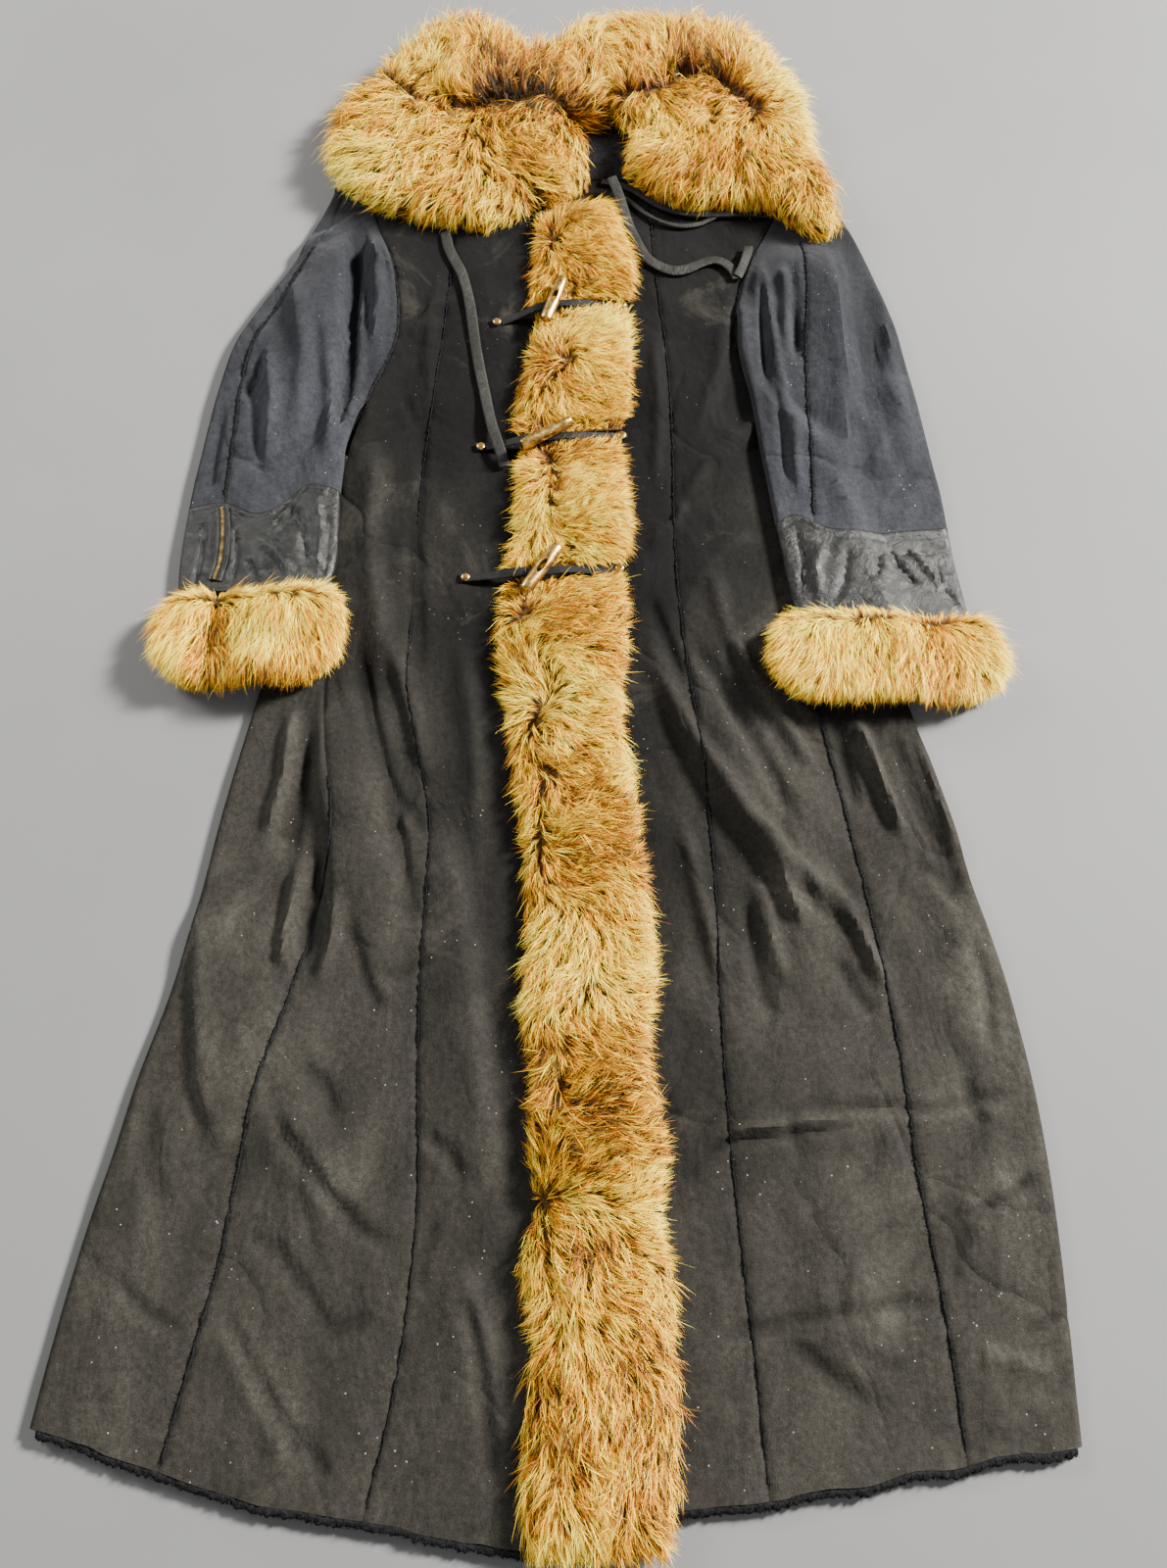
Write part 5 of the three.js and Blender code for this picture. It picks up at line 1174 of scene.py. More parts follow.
# Strands: tapered ribbons in locks. Each lock bends as one, and its strands draw together to its tip.
# room is how far a lock may reach before it passes the outline.
def growStrands(name, places, normals, flow, room, tone, look, seed):
    rng = np.random.default_rng(seed)
    each = look["perLock"]
    count = len(places) * each
    side = unit(np.cross(normals, flow))
    flow = np.cross(side, normals)
    angle = rng.normal(0.0, look["turn"], len(places))[:, None]
    flow, side = flow * np.cos(angle) + side * np.sin(angle), side * np.cos(angle) - flow * np.sin(angle)
    full = look["length"] * rng.uniform(0.7, 1.15, len(places))
    past = look["past"] * rng.uniform(0.0, 2.0, len(places))
    lockLength = np.clip((room + past) * 1.08, look["shortest"], full)
    lockLift = look["lift"] * rng.uniform(0.6, 1.4, len(places))
    lockWave = rng.uniform(-1.0, 1.0, len(places)) * look["wave"]
    lockPhase = rng.uniform(0.0, 2 * np.pi, len(places))
    own = np.repeat(np.arange(len(places)), each)
    around = rng.uniform(0.0, 2 * np.pi, count)
    out = np.sqrt(rng.random(count)) * look["radius"]
    offset = side[own] * (out * np.cos(around))[:, None] + flow[own] * (out * np.sin(around))[:, None]
    length = lockLength[own] * rng.uniform(0.7, 1.12, count)
    stray = rng.normal(0.0, look["stray"], (count, 3))
    stray += rng.normal(0.0, look["stray"] * 1.6, (count, 3)) * (rng.random(count) < 0.08)[:, None]
    steps = look["steps"]
    spine = []
    for k in range(steps + 1):
        t = k / steps
        up = lockLift[own] * (t - 0.66 * t * t) + 0.05 * t
        forward = 0.42 * t + 0.52 * t * t
        wave = lockWave[own] * np.sin(2.6 * t + lockPhase[own]) * t
        p = places[own] + normals[own] * (up * length)[:, None] + flow[own] * (forward * length)[:, None]
        p = p + side[own] * (wave * length)[:, None]
        p = p + offset * (1.0 - look["clump"] * t ** 1.3) + stray * (length * t * t)[:, None]
        p[:, 2] -= look["droop"] * t * t
        spine.append(p)
    spine = np.array(spine)
    spine[:, :, 2] = np.clip(spine[:, :, 2], look["floor"], look["ceiling"])
    way = unit(np.gradient(spine, axis=0))
    face = normals[own] + rng.normal(0.0, 0.4, (count, 3))
    flat = unit(np.cross(way, face[None]))
    wide = look["width"] * rng.uniform(0.65, 1.35, count)
    points = []
    for k in range(steps):
        half = 0.5 * wide * (1.0 - 0.75 * (k / steps) ** 1.5)
        points += [spine[k] - flat[k] * half[:, None], spine[k] + flat[k] * half[:, None]]
    points.append(spine[steps])
    points = np.array(points)
    cols = 2 * steps + 1
    ids = np.arange(count)[:, None] * cols + np.arange(cols)[None, :]
    points = points.transpose(1, 0, 2).reshape(-1, 3)
    quads = np.concatenate([ids[:, [2 * k, 2 * k + 1, 2 * k + 3, 2 * k + 2]] for k in range(steps - 1)])
    tris = ids[:, [2 * steps - 2, 2 * steps - 1, 2 * steps]]
    mesh = newMesh(name, points, quads, tris)
    lockTone = tone + rng.normal(0.0, look["patch"], len(places))
    shade = np.clip(lockTone[own] + rng.normal(0.0, look["mottle"], count), 0.02, 0.98)
    u = np.repeat(shade[:, None], cols, axis=1) + np.tile([-0.006, 0.006], steps + 1)[:cols][None, :]
    v = np.repeat(np.arange(steps + 1) / steps, 2)[:cols] * 0.98 + 0.01
    uv = np.stack([u, np.repeat(v[None, :], count, axis=0)], axis=-1).reshape(-1, 2)
    corners = np.concatenate([quads.ravel(), tris.ravel()])
    layer = mesh.uv_layers.new(name="OFBake")
    layer.data.foreach_set("uv", uv[corners].astype(np.float32).ravel())
    return mesh


# Even places on the upper faces of a form, with their normals
def sampleForm(points, quads, count, seed, lowest=-0.35):
    rng = np.random.default_rng(seed)
    a, b, c, d = (points[quads[:, k]] for k in range(4))
    tris = np.concatenate([np.stack([a, b, c], axis=1), np.stack([a, c, d], axis=1)])
    cross = np.cross(tris[:, 1] - tris[:, 0], tris[:, 2] - tris[:, 0])
    size = np.linalg.norm(cross, axis=1)
    normal = cross / np.maximum(size, 1e-9)[:, None]
    size = np.where(normal[:, 2] > lowest, size, 0.0)
    steps = np.cumsum(size) / size.sum()
    picks = np.searchsorted(steps, (np.arange(count) + rng.random(count)) / count)
    picks = np.minimum(picks, len(tris) - 1)
    u, v = rng.random(count), rng.random(count)
    over = u + v > 1
    u, v = np.where(over, 1 - u, u), np.where(over, 1 - v, v)
    t = tris[picks]
    return t[:, 0] + (t[:, 1] - t[:, 0]) * u[:, None] + (t[:, 2] - t[:, 0]) * v[:, None], normal[picks]


# How far it is from each place to an outline, the way that its lock lies
def roomTo(outline, x, y, flow):
    room = np.full(len(x), 1e3)
    ends = np.roll(outline, -1, axis=0)
    for (ax, ay), (bx, by) in zip(outline, ends):
        ex, ey = bx - ax, by - ay
        across = flow[:, 0] * ey - flow[:, 1] * ex
        across = np.where(np.abs(across) < 1e-9, 1e-9, across)
        reach = ((ax - x) * ey - (ay - y) * ex) / across
        share = ((ax - x) * flow[:, 1] - (ay - y) * flow[:, 0]) / across
        hit = (share >= 0) & (share <= 1) & (reach > 0)
        room = np.where(hit & (reach < room), reach, room)
    return np.where(room > 999.0, 0.0, room)


# The tone at a place: an even tone, drawn towards that of each patch near it
def toneAmong(patches, base, x, down, seed):
    total, weight = np.full(len(x), 0.12 * base), np.full(len(x), 0.12)
    for px, pd, radius, tone in patches:
        w = np.exp(-((x - px) ** 2 + (down - pd) ** 2) / radius ** 2)
        total, weight = total + w * (tone / 100), weight + w
    streaks = 0.1 * softNoise(x, down, 11.0, seed) + 0.07 * softNoise(x, down, 30.0, seed + 1)
    return total / weight + streaks


def nearestOn(path, x, down):
    best, bx, bd = np.full(len(x), 1e9), x * 0.0, x * 0.0
    for (ax, ad), (ex, ed) in zip(path[:-1], path[1:]):
        dx, dd = ex - ax, ed - ad
        t = np.clip(((x - ax) * dx + (down - ad) * dd) / max(dx * dx + dd * dd, 1e-6), 0.0, 1.0)
        gap = np.hypot(x - ax - t * dx, down - ad - t * dd)
        nearer = gap < best
        best = np.where(nearer, gap, best)
        bx, bd = np.where(nearer, ax + t * dx, bx), np.where(nearer, ad + t * dd, bd)
    return best, bx, bd


neckHole = {"x": 18.0, "down": -36.0, "reach": 56.0, "clear": 26.0}
toggleRows = [
    {"x": -30, "down": 183, "turn": 72, "onEdge": 8, "rivetR": [-89, 198], "rivetL": [40, 176]},
    {"x": -36, "down": 347, "turn": 31, "onEdge": 78, "rivetR": [-101, 351], "rivetL": [38, 338]},
    {"x": -39, "down": 497, "turn": 57, "onEdge": 8, "rivetR": [-111, 498], "rivetL": [34, 488]},
]
toggleSize = {"length": 57.0, "radius": 6.4, "flat": 0.85, "height": 27.5, "eyeLong": 8.0, "eyeWide": 2.9,
              "clear": 5.0, "strapClear": 1.5, "rivetClear": 7.0}


def strapRoute(row):
    return [row["rivetR"], [row["x"], row["down"]], row["rivetL"]]


# Short by the toggles, so that no strand lies over the metal
def roomByToggles(room, x, down):
    for row in toggleRows:
        turn = math.radians(row["turn"])
        dx, dd = 0.5 * toggleSize["length"] * math.cos(turn), -0.5 * toggleSize["length"] * math.sin(turn)
        bar = [[row["x"] - dx, row["down"] - dd], [row["x"] + dx, row["down"] + dd]]
        for path, clear in ((bar, toggleSize["clear"]), (strapRoute(row), toggleSize["strapClear"]),
                            ([row["rivetL"]] * 2, toggleSize["rivetClear"])):
            gap = nearestOn(path, x, down)[0]
            room = np.where(gap < 24.0, np.minimum(room, np.maximum(gap - clear, 0.0)), room)
    return room


def growFur(name, form, count, flowAt, toneAt, look, seed):
    places, normals = sampleForm(form["points"], form["grow"], count, seed)
    x, down = places[:, 0], neckY - places[:, 1]
    flow = flowAt(x, down)
    room = roomTo(form["outline"], x, places[:, 1], flow) - neckHole["clear"] * np.exp(
        -((x - neckHole["x"]) ** 2 + (down - neckHole["down"]) ** 2) / neckHole["reach"] ** 2)
    room = roomByToggles(room, x, down)
    mesh = growStrands(name, places, normals, flow, room, toneAt(x, down), look, seed + 5)
    return addPiece(name, mesh, furStrands, sharpDegrees=None)


def turned(direction, angle):
    direction = unit(direction)
    c, s = np.cos(angle), np.sin(angle)
    x = direction[:, 0] * c - direction[:, 1] * s
    y = direction[:, 0] * s + direction[:, 1] * c
    return np.stack([x, y, np.zeros_like(x)], axis=1)


# The hood's fur. Tones are x, down, radius and tone, from 0, dark olive, by 40, orange, to 100, cream.
hoodTones = {"R": [
    (-244, -90, 30, 38), (-262, -45, 21, 50), (-191, -112, 37, 85), (-173, -152, 22, 80),
    (-145, -193, 24, 55), (-107, -187, 22, 50), (-71, -95, 32, 15), (-109, -129, 19, 25),
    (-60, -164, 20, 50), (-18, -164, 24, 72), (7, -187, 15, 80), (-18, -106, 22, 45), (-242, -7, 32, 97),
    (-208, 20, 25, 90), (-155, -18, 25, 62), (-144, 36, 27, 55), (-98, -29, 27, 42), (-57, -18, 29, 40),
    (-33, 25, 27, 66), (0, 31, 16, 60), (-96, 46, 23, 70),
], "L": [
    (32, -164, 15, 97), (28, -106, 13, 80), (57, -118, 15, 40), (84, -164, 24, 60), (124, -129, 26, 28),
    (108, -152, 15, 20), (160, -187, 29, 60), (184, -152, 20, 80), (81, -39, 23, 80), (106, -72, 19, 50),
    (155, -72, 24, 62), (181, -106, 17, 85), (215, -106, 21, 97), (228, -62, 21, 95), (185, -18, 29, 50),
    (136, -7, 27, 45), (216, -7, 23, 62), (86, 36, 25, 45), (55, 4, 15, 60), (150, 46, 25, 60),
    (238, 36, 25, 50), (251, 77, 16, 70),
]}
hoodSize = {"rise": 36.0, "base": 10.0, "pelt": 0.68, "inset": 6.0, "drop": 18.0, "lump": 3.5,
            "rimPoints": 132, "locks": 3250}
hoodHalf = {
    "R": {
        "rim": hoodRimR,
        "centre": [-140, -72],
        "parting": [[-220, -118], [-183, -83], [-134, -74], [-97, -89], [-38, -89], [3, -69]],
    },
    "L": {
        "rim": hoodRimL,
        "centre": [148, -66],
        "parting": [[48, -93], [78, -98], [113, -127], [151, -118], [186, -69]],
    },
}
hoodFurLook = {"perLock": 8, "radius": 2.7, "length": 30.0, "shortest": 8.0, "past": 4.5, "lift": 0.95,
               "turn": 0.3, "wave": 0.2, "stray": 0.14, "steps": 3, "clump": 0.36, "droop": 3.0,
               "floor": 1.2, "ceiling": 56.0, "width": 0.62, "mottle": 0.24, "patch": 0.15}


def rimPlaces(rows, count):
    keys = list(rows)
    values = np.stack([rows[key] for key in keys], axis=1)
    knots = len(values)
    at = np.arange(count) * knots / count
    k = np.floor(at).astype(int)
    t = (at - k)[:, None]
    p0, p1, p2, p3 = (values[(k + step) % knots] for step in (-1, 0, 1, 2))
    near, far, rise = (p2 - p0) / 2, (p3 - p1) / 2, p2 - p1
    curved = p1 + t * (near + t * (3 * rise - 2 * near - far + t * (near + far - 2 * rise)))
    straight = p1 + t * (p2 - p1)
    return {key: (curved if key in ("x", "down") else straight)[:, i] for i, key in enumerate(keys)}


def fanForm(middle, rings, middleUnder):
    points = np.concatenate([rings.reshape(-1, 3), [middle, middleUnder]])
    quads, tris = tubeFaces(*rings.shape[:2])
    return points, quads[:, [0, 3, 2, 1]], tris[:, [0, 2, 1]]


def hoodPelt(side):
    half = hoodHalf[side]
    count = hoodSize["rimPoints"]
    rim = rimPlaces(half["rim"], count)
    cx, cd = half["centre"]
    reach = np.hypot(rim["x"] - cx, rim["down"] - cd)
    inner = 1.0 - hoodSize["inset"] / reach
    rings = []
    for share in (0.1, 0.2, 0.3, 0.4, 0.5, 0.6, 0.68, 0.76, 0.83, 0.89, 0.94, 0.98, 1.0):
        x = mix(cx, rim["x"], share * inner)
        down = mix(cd, rim["down"], share * inner)
        crown = hoodSize["rise"] + np.maximum(-20.0, foldsAt(hoodFolds, x, down))
        crown = crown + hoodSize["lump"] * softNoise(x, down, 34.0, 41)
        dome = np.sqrt(np.maximum(0.0, 1.0 - share ** 5))
        low, high = rim["base"] + rim["lip"] * 0.6, hoodSize["base"] + crown * hoodSize["pelt"]
        rings.append(stacked(x, down, mix(low, high, dome)))
    grow = len(rings)
    rings.append(stacked(mix(cx, rim["x"], inner), mix(cd, rim["down"], inner), rim["base"]))
    under = 1.0 - hoodSize["drop"] / reach
    rings.append(stacked(mix(cx, rim["x"], under), mix(cd, rim["down"], under), hoodSize["base"]))
    crown = hoodSize["rise"] + max(-20.0, float(foldsAt(hoodFolds, np.array(cx), np.array(cd))))
    middle = [cx, yOf(cd), hoodSize["base"] + crown * hoodSize["pelt"]]
    points, quads, tris = fanForm(middle, np.array(rings), [cx, yOf(cd), hoodSize["base"]])
    quads, tris = turnedUp(points, quads, tris, 5 * count)
    name = f"fur_pelt_hood_{side}"
    addPiece(name, newMesh(name, points, quads, tris), furPelt, [f"hood_fur_{side}"], 70.0)
    outline = np.stack([rim["x"], yOf(rim["down"])], axis=1)
    return {"points": points, "grow": quads[: count * grow], "outline": outline}


def hoodFlow(side):
    half = hoodHalf[side]
    cx, cd = half["centre"]

    def flowAt(x, down):
        gap, nearX, nearDown = nearestOn(half["parting"], x, down)
        away = unit(np.stack([x - nearX, nearDown - down], axis=1))
        radial = np.stack([x - cx, cd - down], axis=1)
        radial /= np.sqrt((radial ** 2).sum(axis=1, keepdims=True) + 30.0 ** 2)
        radial += np.array([0.12, -0.5]) * np.exp(-((x - cx) ** 2 + (down - cd) ** 2) / 50.0 ** 2)[:, None]
        share = np.exp(-((gap / 90.0) ** 2))[:, None]
        flow = away * share + radial * (1.0 - share)
        return turned(flow, 0.8 * softNoise(x, down, 46.0, 51) + 0.6 * softNoise(x, down, 19.0, 52))

    return flowAt


def hoodTone(side):
    def toneAt(x, down):
        gap = nearestOn(hoodHalf[side]["parting"], x, down)[0]
        # Darker along the partings, where the pile opens: partly painted shade and partly the darker roots
        # showing
        return toneAmong(hoodTones[side], 0.6, x, down, 61) - 0.22 * np.exp(-((gap / 13.0) ** 2))

    return toneAt


for side in "RL":
    growFur(f"fur_hood_{side}", hoodPelt(side), hoodSize["locks"], hoodFlow(side), hoodTone(side),
            hoodFurLook, 71)
print("hood fur made")


# The fur front band, in lengths between the toggle straps
neckStrap = [[-52, 57], [-25, 49], [2, 41], [30, 33]]
placketSize = {"rise": 23.0, "end": 1291.0, "room": 7.0, "pelt": 0.66, "inset": 4.0, "lump": 2.4,
               "rows": [34, 34, 32, 150], "columns": 22, "locks": [1330, 1380, 1330, 6000]}
placketFurLook = {"perLock": 8, "radius": 2.3, "length": 22.0, "shortest": 7.0, "past": 3.6, "lift": 0.85,
                  "turn": 0.28, "wave": 0.18, "stray": 0.15, "steps": 2, "clump": 0.34, "droop": 2.0,
                  "floor": 10.4, "ceiling": 40.0, "width": 0.58, "mottle": 0.24, "patch": 0.15}
placketTones = [
    (-16, 66, 18, 50), (-30, 114, 18, 42), (16, 114, 18, 50), (29, 148, 11, 45), (-38, 160, 13, 50),
    (-7, 143, 13, 40), (2, 205, 22, 85), (33, 221, 18, 82), (-42, 216, 11, 70), (-32, 275, 15, 30),
    (7, 259, 17, 72), (32, 286, 17, 55), (-6, 312, 17, 50), (-58, 323, 15, 40), (-28, 343, 13, 42),
    (32, 328, 13, 45), (-6, 364, 15, 45), (23, 368, 13, 42), (-48, 384, 15, 60), (-39, 413, 17, 68),
    (-6, 403, 15, 80), (23, 413, 14, 62), (-6, 433, 14, 85), (-43, 452, 14, 80), (31, 452, 12, 60),
    (-6, 471, 14, 82), (-63, 480, 12, 80), (26, 480, 12, 62), (-46, 522, 16, 50), (-6, 522, 18, 50),
    (22, 536, 14, 48), (-61, 558, 14, 70), (-34, 554, 14, 35), (2, 562, 14, 45), (18, 589, 12, 42),
    (-65, 580, 10, 80), (-33, 606, 15, 85), (2, 606, 16, 75), (-33, 632, 16, 88), (10, 632, 14, 70),
    (-52, 657, 12, 65), (-25, 662, 12, 70), (-8, 678, 7, 10), (-2, 703, 6, 15), (17, 674, 11, 80),
    (25, 703, 11, 75), (-40, 698, 13, 50), (-24, 719, 11, 45), (13, 731, 11, 50), (-43, 731, 11, 70),
    (24, 750, 15, 42), (-13, 754, 13, 45), (-35, 770, 13, 75), (2, 778, 15, 40), (39, 770, 9, 50),
    (-32, 793, 15, 40), (14, 793, 19, 50), (41, 789, 10, 38), (-35, 813, 11, 62), (-1, 813, 15, 60),
    (37, 817, 13, 62), (-31, 844, 17, 78), (6, 840, 19, 80), (44, 852, 13, 80), (-23, 874, 19, 70),
    (14, 870, 19, 88), (51, 878, 11, 85), (-38, 893, 13, 75), (-5, 900, 13, 70), (36, 896, 13, 65),
    (-45, 904, 7, 80), (-34, 922, 11, 35), (-5, 926, 15, 38), (28, 922, 14, 42), (-23, 947, 16, 40),
    (10, 951, 18, 35), (42, 947, 14, 42), (-22, 979, 16, 42), (13, 982, 16, 33), (46, 975, 14, 40),
    (-15, 1003, 14, 30), (17, 1010, 14, 35), (49, 1003, 12, 45), (-33, 1016, 11, 50), (-37, 989, 9, 50),
    (10, 1030, 14, 42), (48, 1030, 11, 60), (-25, 1046, 14, 65), (6, 1050, 12, 70), (34, 1050, 14, 72),
    (55, 1056, 9, 70), (-1, 1082, 12, 20), (20, 1072, 9, 30), (-42, 1082, 10, 85), (-28, 1079, 9, 70),
    (47, 1079, 14, 70), (20, 1095, 14, 60), (-35, 1107, 14, 80), (-14, 1110, 14, 62), (26, 1114, 14, 48),
    (53, 1114, 10, 60), (-24, 1132, 14, 60), (-1, 1132, 14, 72), (26, 1138, 14, 42), (53, 1148, 12, 45),
    (-28, 1151, 10, 40), (-4, 1157, 13, 66), (29, 1163, 15, 35), (52, 1178, 10, 40), (-21, 1172, 12, 35),
    (6, 1180, 13, 60), (-34, 1180, 8, 55), (-14, 1198, 13, 28), (12, 1204, 13, 62), (42, 1204, 13, 42),
    (-34, 1213, 10, 50), (-7, 1221, 10, 30), (15, 1230, 13, 60), (44, 1230, 13, 48), (-33, 1238, 10, 65),
    (-14, 1247, 11, 45), (12, 1255, 13, 60), (41, 1258, 13, 50), (-30, 1264, 10, 60), (-17, 1277, 11, 80),
    (9, 1277, 13, 70), (37, 1280, 13, 55), (54, 1264, 8, 45),
]
# How the pile leans along the band: down, lean towards the hood, and how much it leans sideways
placketLean = table("down lean across", [
    (40, 0.1, 1), (165, 0, 1), (185, 0.8, 1), (250, 0.5, 1), (300, -0.3, 1), (345, 0.5, 1), (400, 0.1, 1),
    (470, -0.1, 1), (500, 0.3, 1), (560, -0.1, 1), (620, 0.2, 1), (680, -0.5, 0.9), (740, 0.1, 1),
    (800, -0.4, 1), (880, -0.7, 1), (950, -0.2, 1), (1010, 0, 1), (1040, 0.3, 1), (1062, -0.8, 0.9),
    (1110, -0.7, 1), (1160, -1, 0.8), (1210, -1.3, 0.5), (1290, -1.4, 0.4),
])


def strapDown(route, x):
    rows = np.array(sorted(route, key=lambda p: p[0]), dtype=float)
    return np.interp(x, rows[:, 0], rows[:, 1])


def placketPelt(index):
    above = neckStrap if index == 0 else strapRoute(toggleRows[index - 1])
    below = strapRoute(toggleRows[index]) if index < 3 else None
    base = clothSize["bodyRise"] + 0.3
    room, inset = placketSize["room"], placketSize["inset"]
    rows, columns = placketSize["rows"][index], placketSize["columns"]

    def startAt(x):
        return strapDown(above, x) + room

    def endAt(x):
        return strapDown(below, x) - room if below else np.full(np.shape(x), placketSize["end"] - 4.0)

    share = np.linspace(0.0, 1.0, rows)[:, None]
    t = np.linspace(0.0, 1.0, columns)[None, :]
    middle = mix(startAt(0.0), endAt(0.0), share)
    right, left = placketRight(middle) + inset, placketLeft(middle) - inset
    x = right + (left - right) * t
    down = mix(startAt(x), endAt(x), share)
    fromStart, toEnd = down - startAt(x), endAt(x) - down

    def pressed(gap):
        return 0.24 + 0.76 * smooth((gap + 4.0) / 62.0)

    def rounded(gap):
        return 0.2 + 0.8 * np.sqrt(smooth(gap / 26.0))

    atStart = rounded(fromStart) if index == 0 else pressed(fromStart)
    atEnd = pressed(toEnd) if below else rounded(toEnd)
    crown = (1 - np.abs(2 * t - 1) ** 2.6) ** 0.6
    lump = placketSize["lump"] * softNoise(x, down, 24.0, 81)
    full = np.minimum(atStart, atEnd)
    high = (placketSize["rise"] * full * placketSize["pelt"] + lump * full) * crown
    outer = stacked(x, down, base + 1.0 + np.maximum(high, 0.6))
    inner = stacked(x, down, np.full(x.shape, base))
    name = f"fur_pelt_placket_{index + 1}"
    addPiece(name, closedGrid(name, outer, inner), furPelt, [f"placket_fur_{index + 1}"], 70.0)
    quads = gridQuads(openIndex(rows, columns))[:, [0, 3, 2, 1]]
    edges = [outer[:, 0] - [inset, 0, 0], outer[-1] - [0, inset * 0.5, 0], outer[::-1, -1] + [inset, 0, 0],
             outer[0, ::-1] + [0, inset * 0.5, 0]]
    return {"points": outer.reshape(-1, 3), "grow": quads, "outline": np.concatenate(edges)[:, :2]}


# The pile parts along a wandering line near one edge and leans out to both sides
leanAt = curve(placketLean["down"], placketLean["lean"])
acrossAt = curve(placketLean["down"], placketLean["across"])


def placketFlow(x, down):
    right, left = placketRight(down), placketLeft(down)
    parting = mix(right, left, 0.26 + 0.22 * softNoise(x * 0.6, down, 44.0, 82))
    out = np.tanh((x - parting) / 24.0) * acrossAt(down)
    along = leanAt(down) + 0.55 * softNoise(x, down, 42.0, 83)
    return turned(np.stack([out, along], axis=1), 0.8 * softNoise(x, down, 23.0, 85))


def placketTone(x, down):
    return toneAmong(placketTones, 0.6, x, down, 91)


for index in range(4):
    growFur(f"fur_placket_{index + 1}", placketPelt(index), placketSize["locks"][index], placketFlow,
            placketTone, placketFurLook, 95 + index)
print("placket fur made")


# Fur cuffs
cuffSize = {"rise": 38.0, "round": 18.0, "slit": 3.0, "slitAt": 0.42, "pelt": 0.7, "inset": 5.0,
            "lump": 3.0, "valley": -338.0, "valleyDepth": 7.0, "rows": 24, "locks": 2100}
cuffFurLook = {"perLock": 8, "radius": 2.6, "length": 27.0, "shortest": 8.0, "past": 3.0, "lift": 0.72,
               "turn": 0.2, "wave": 0.12, "stray": 0.12, "steps": 2, "clump": 0.4, "droop": 2.0,
               "floor": 0.8, "ceiling": 57.0, "width": 0.62, "mottle": 0.24, "patch": 0.15}
cuffTones = {"R": [
    (-380, 551, 18, 75), (-368, 574, 16, 85), (-357, 543, 16, 72), (-334, 565, 14, 30),
    (-322, 574, 12, 22), (-338, 592, 14, 55), (-374, 600, 14, 90), (-320, 597, 14, 50),
    (-343, 578, 10, 10), (-337, 548, 9, 14), (-330, 556, 9, 20), (-298, 555, 20, 95), (-278, 530, 22, 90),
    (-274, 568, 18, 92), (-254, 543, 18, 78), (-231, 555, 18, 68), (-252, 574, 18, 60),
    (-313, 563, 12, 66), (-289, 600, 14, 30), (-271, 604, 14, 38), (-254, 602, 12, 45),
    (-309, 604, 12, 40), (-235, 582, 14, 60),
], "L": [
    (185, 576, 18, 72), (208, 564, 19, 95), (230, 557, 18, 88), (194, 601, 18, 72), (215, 601, 19, 82),
    (240, 583, 18, 80), (258, 566, 16, 90), (277, 574, 14, 55), (259, 601, 17, 75), (282, 601, 18, 72),
    (299, 576, 16, 70), (323, 562, 16, 55), (330, 572, 14, 45), (319, 598, 19, 36), (335, 608, 16, 42),
    (302, 606, 16, 60), (357, 568, 18, 85), (370, 596, 19, 97), (348, 586, 10, 85), (356, 615, 14, 90),
    (257, 625, 16, 70), (225, 620, 16, 72),
]}


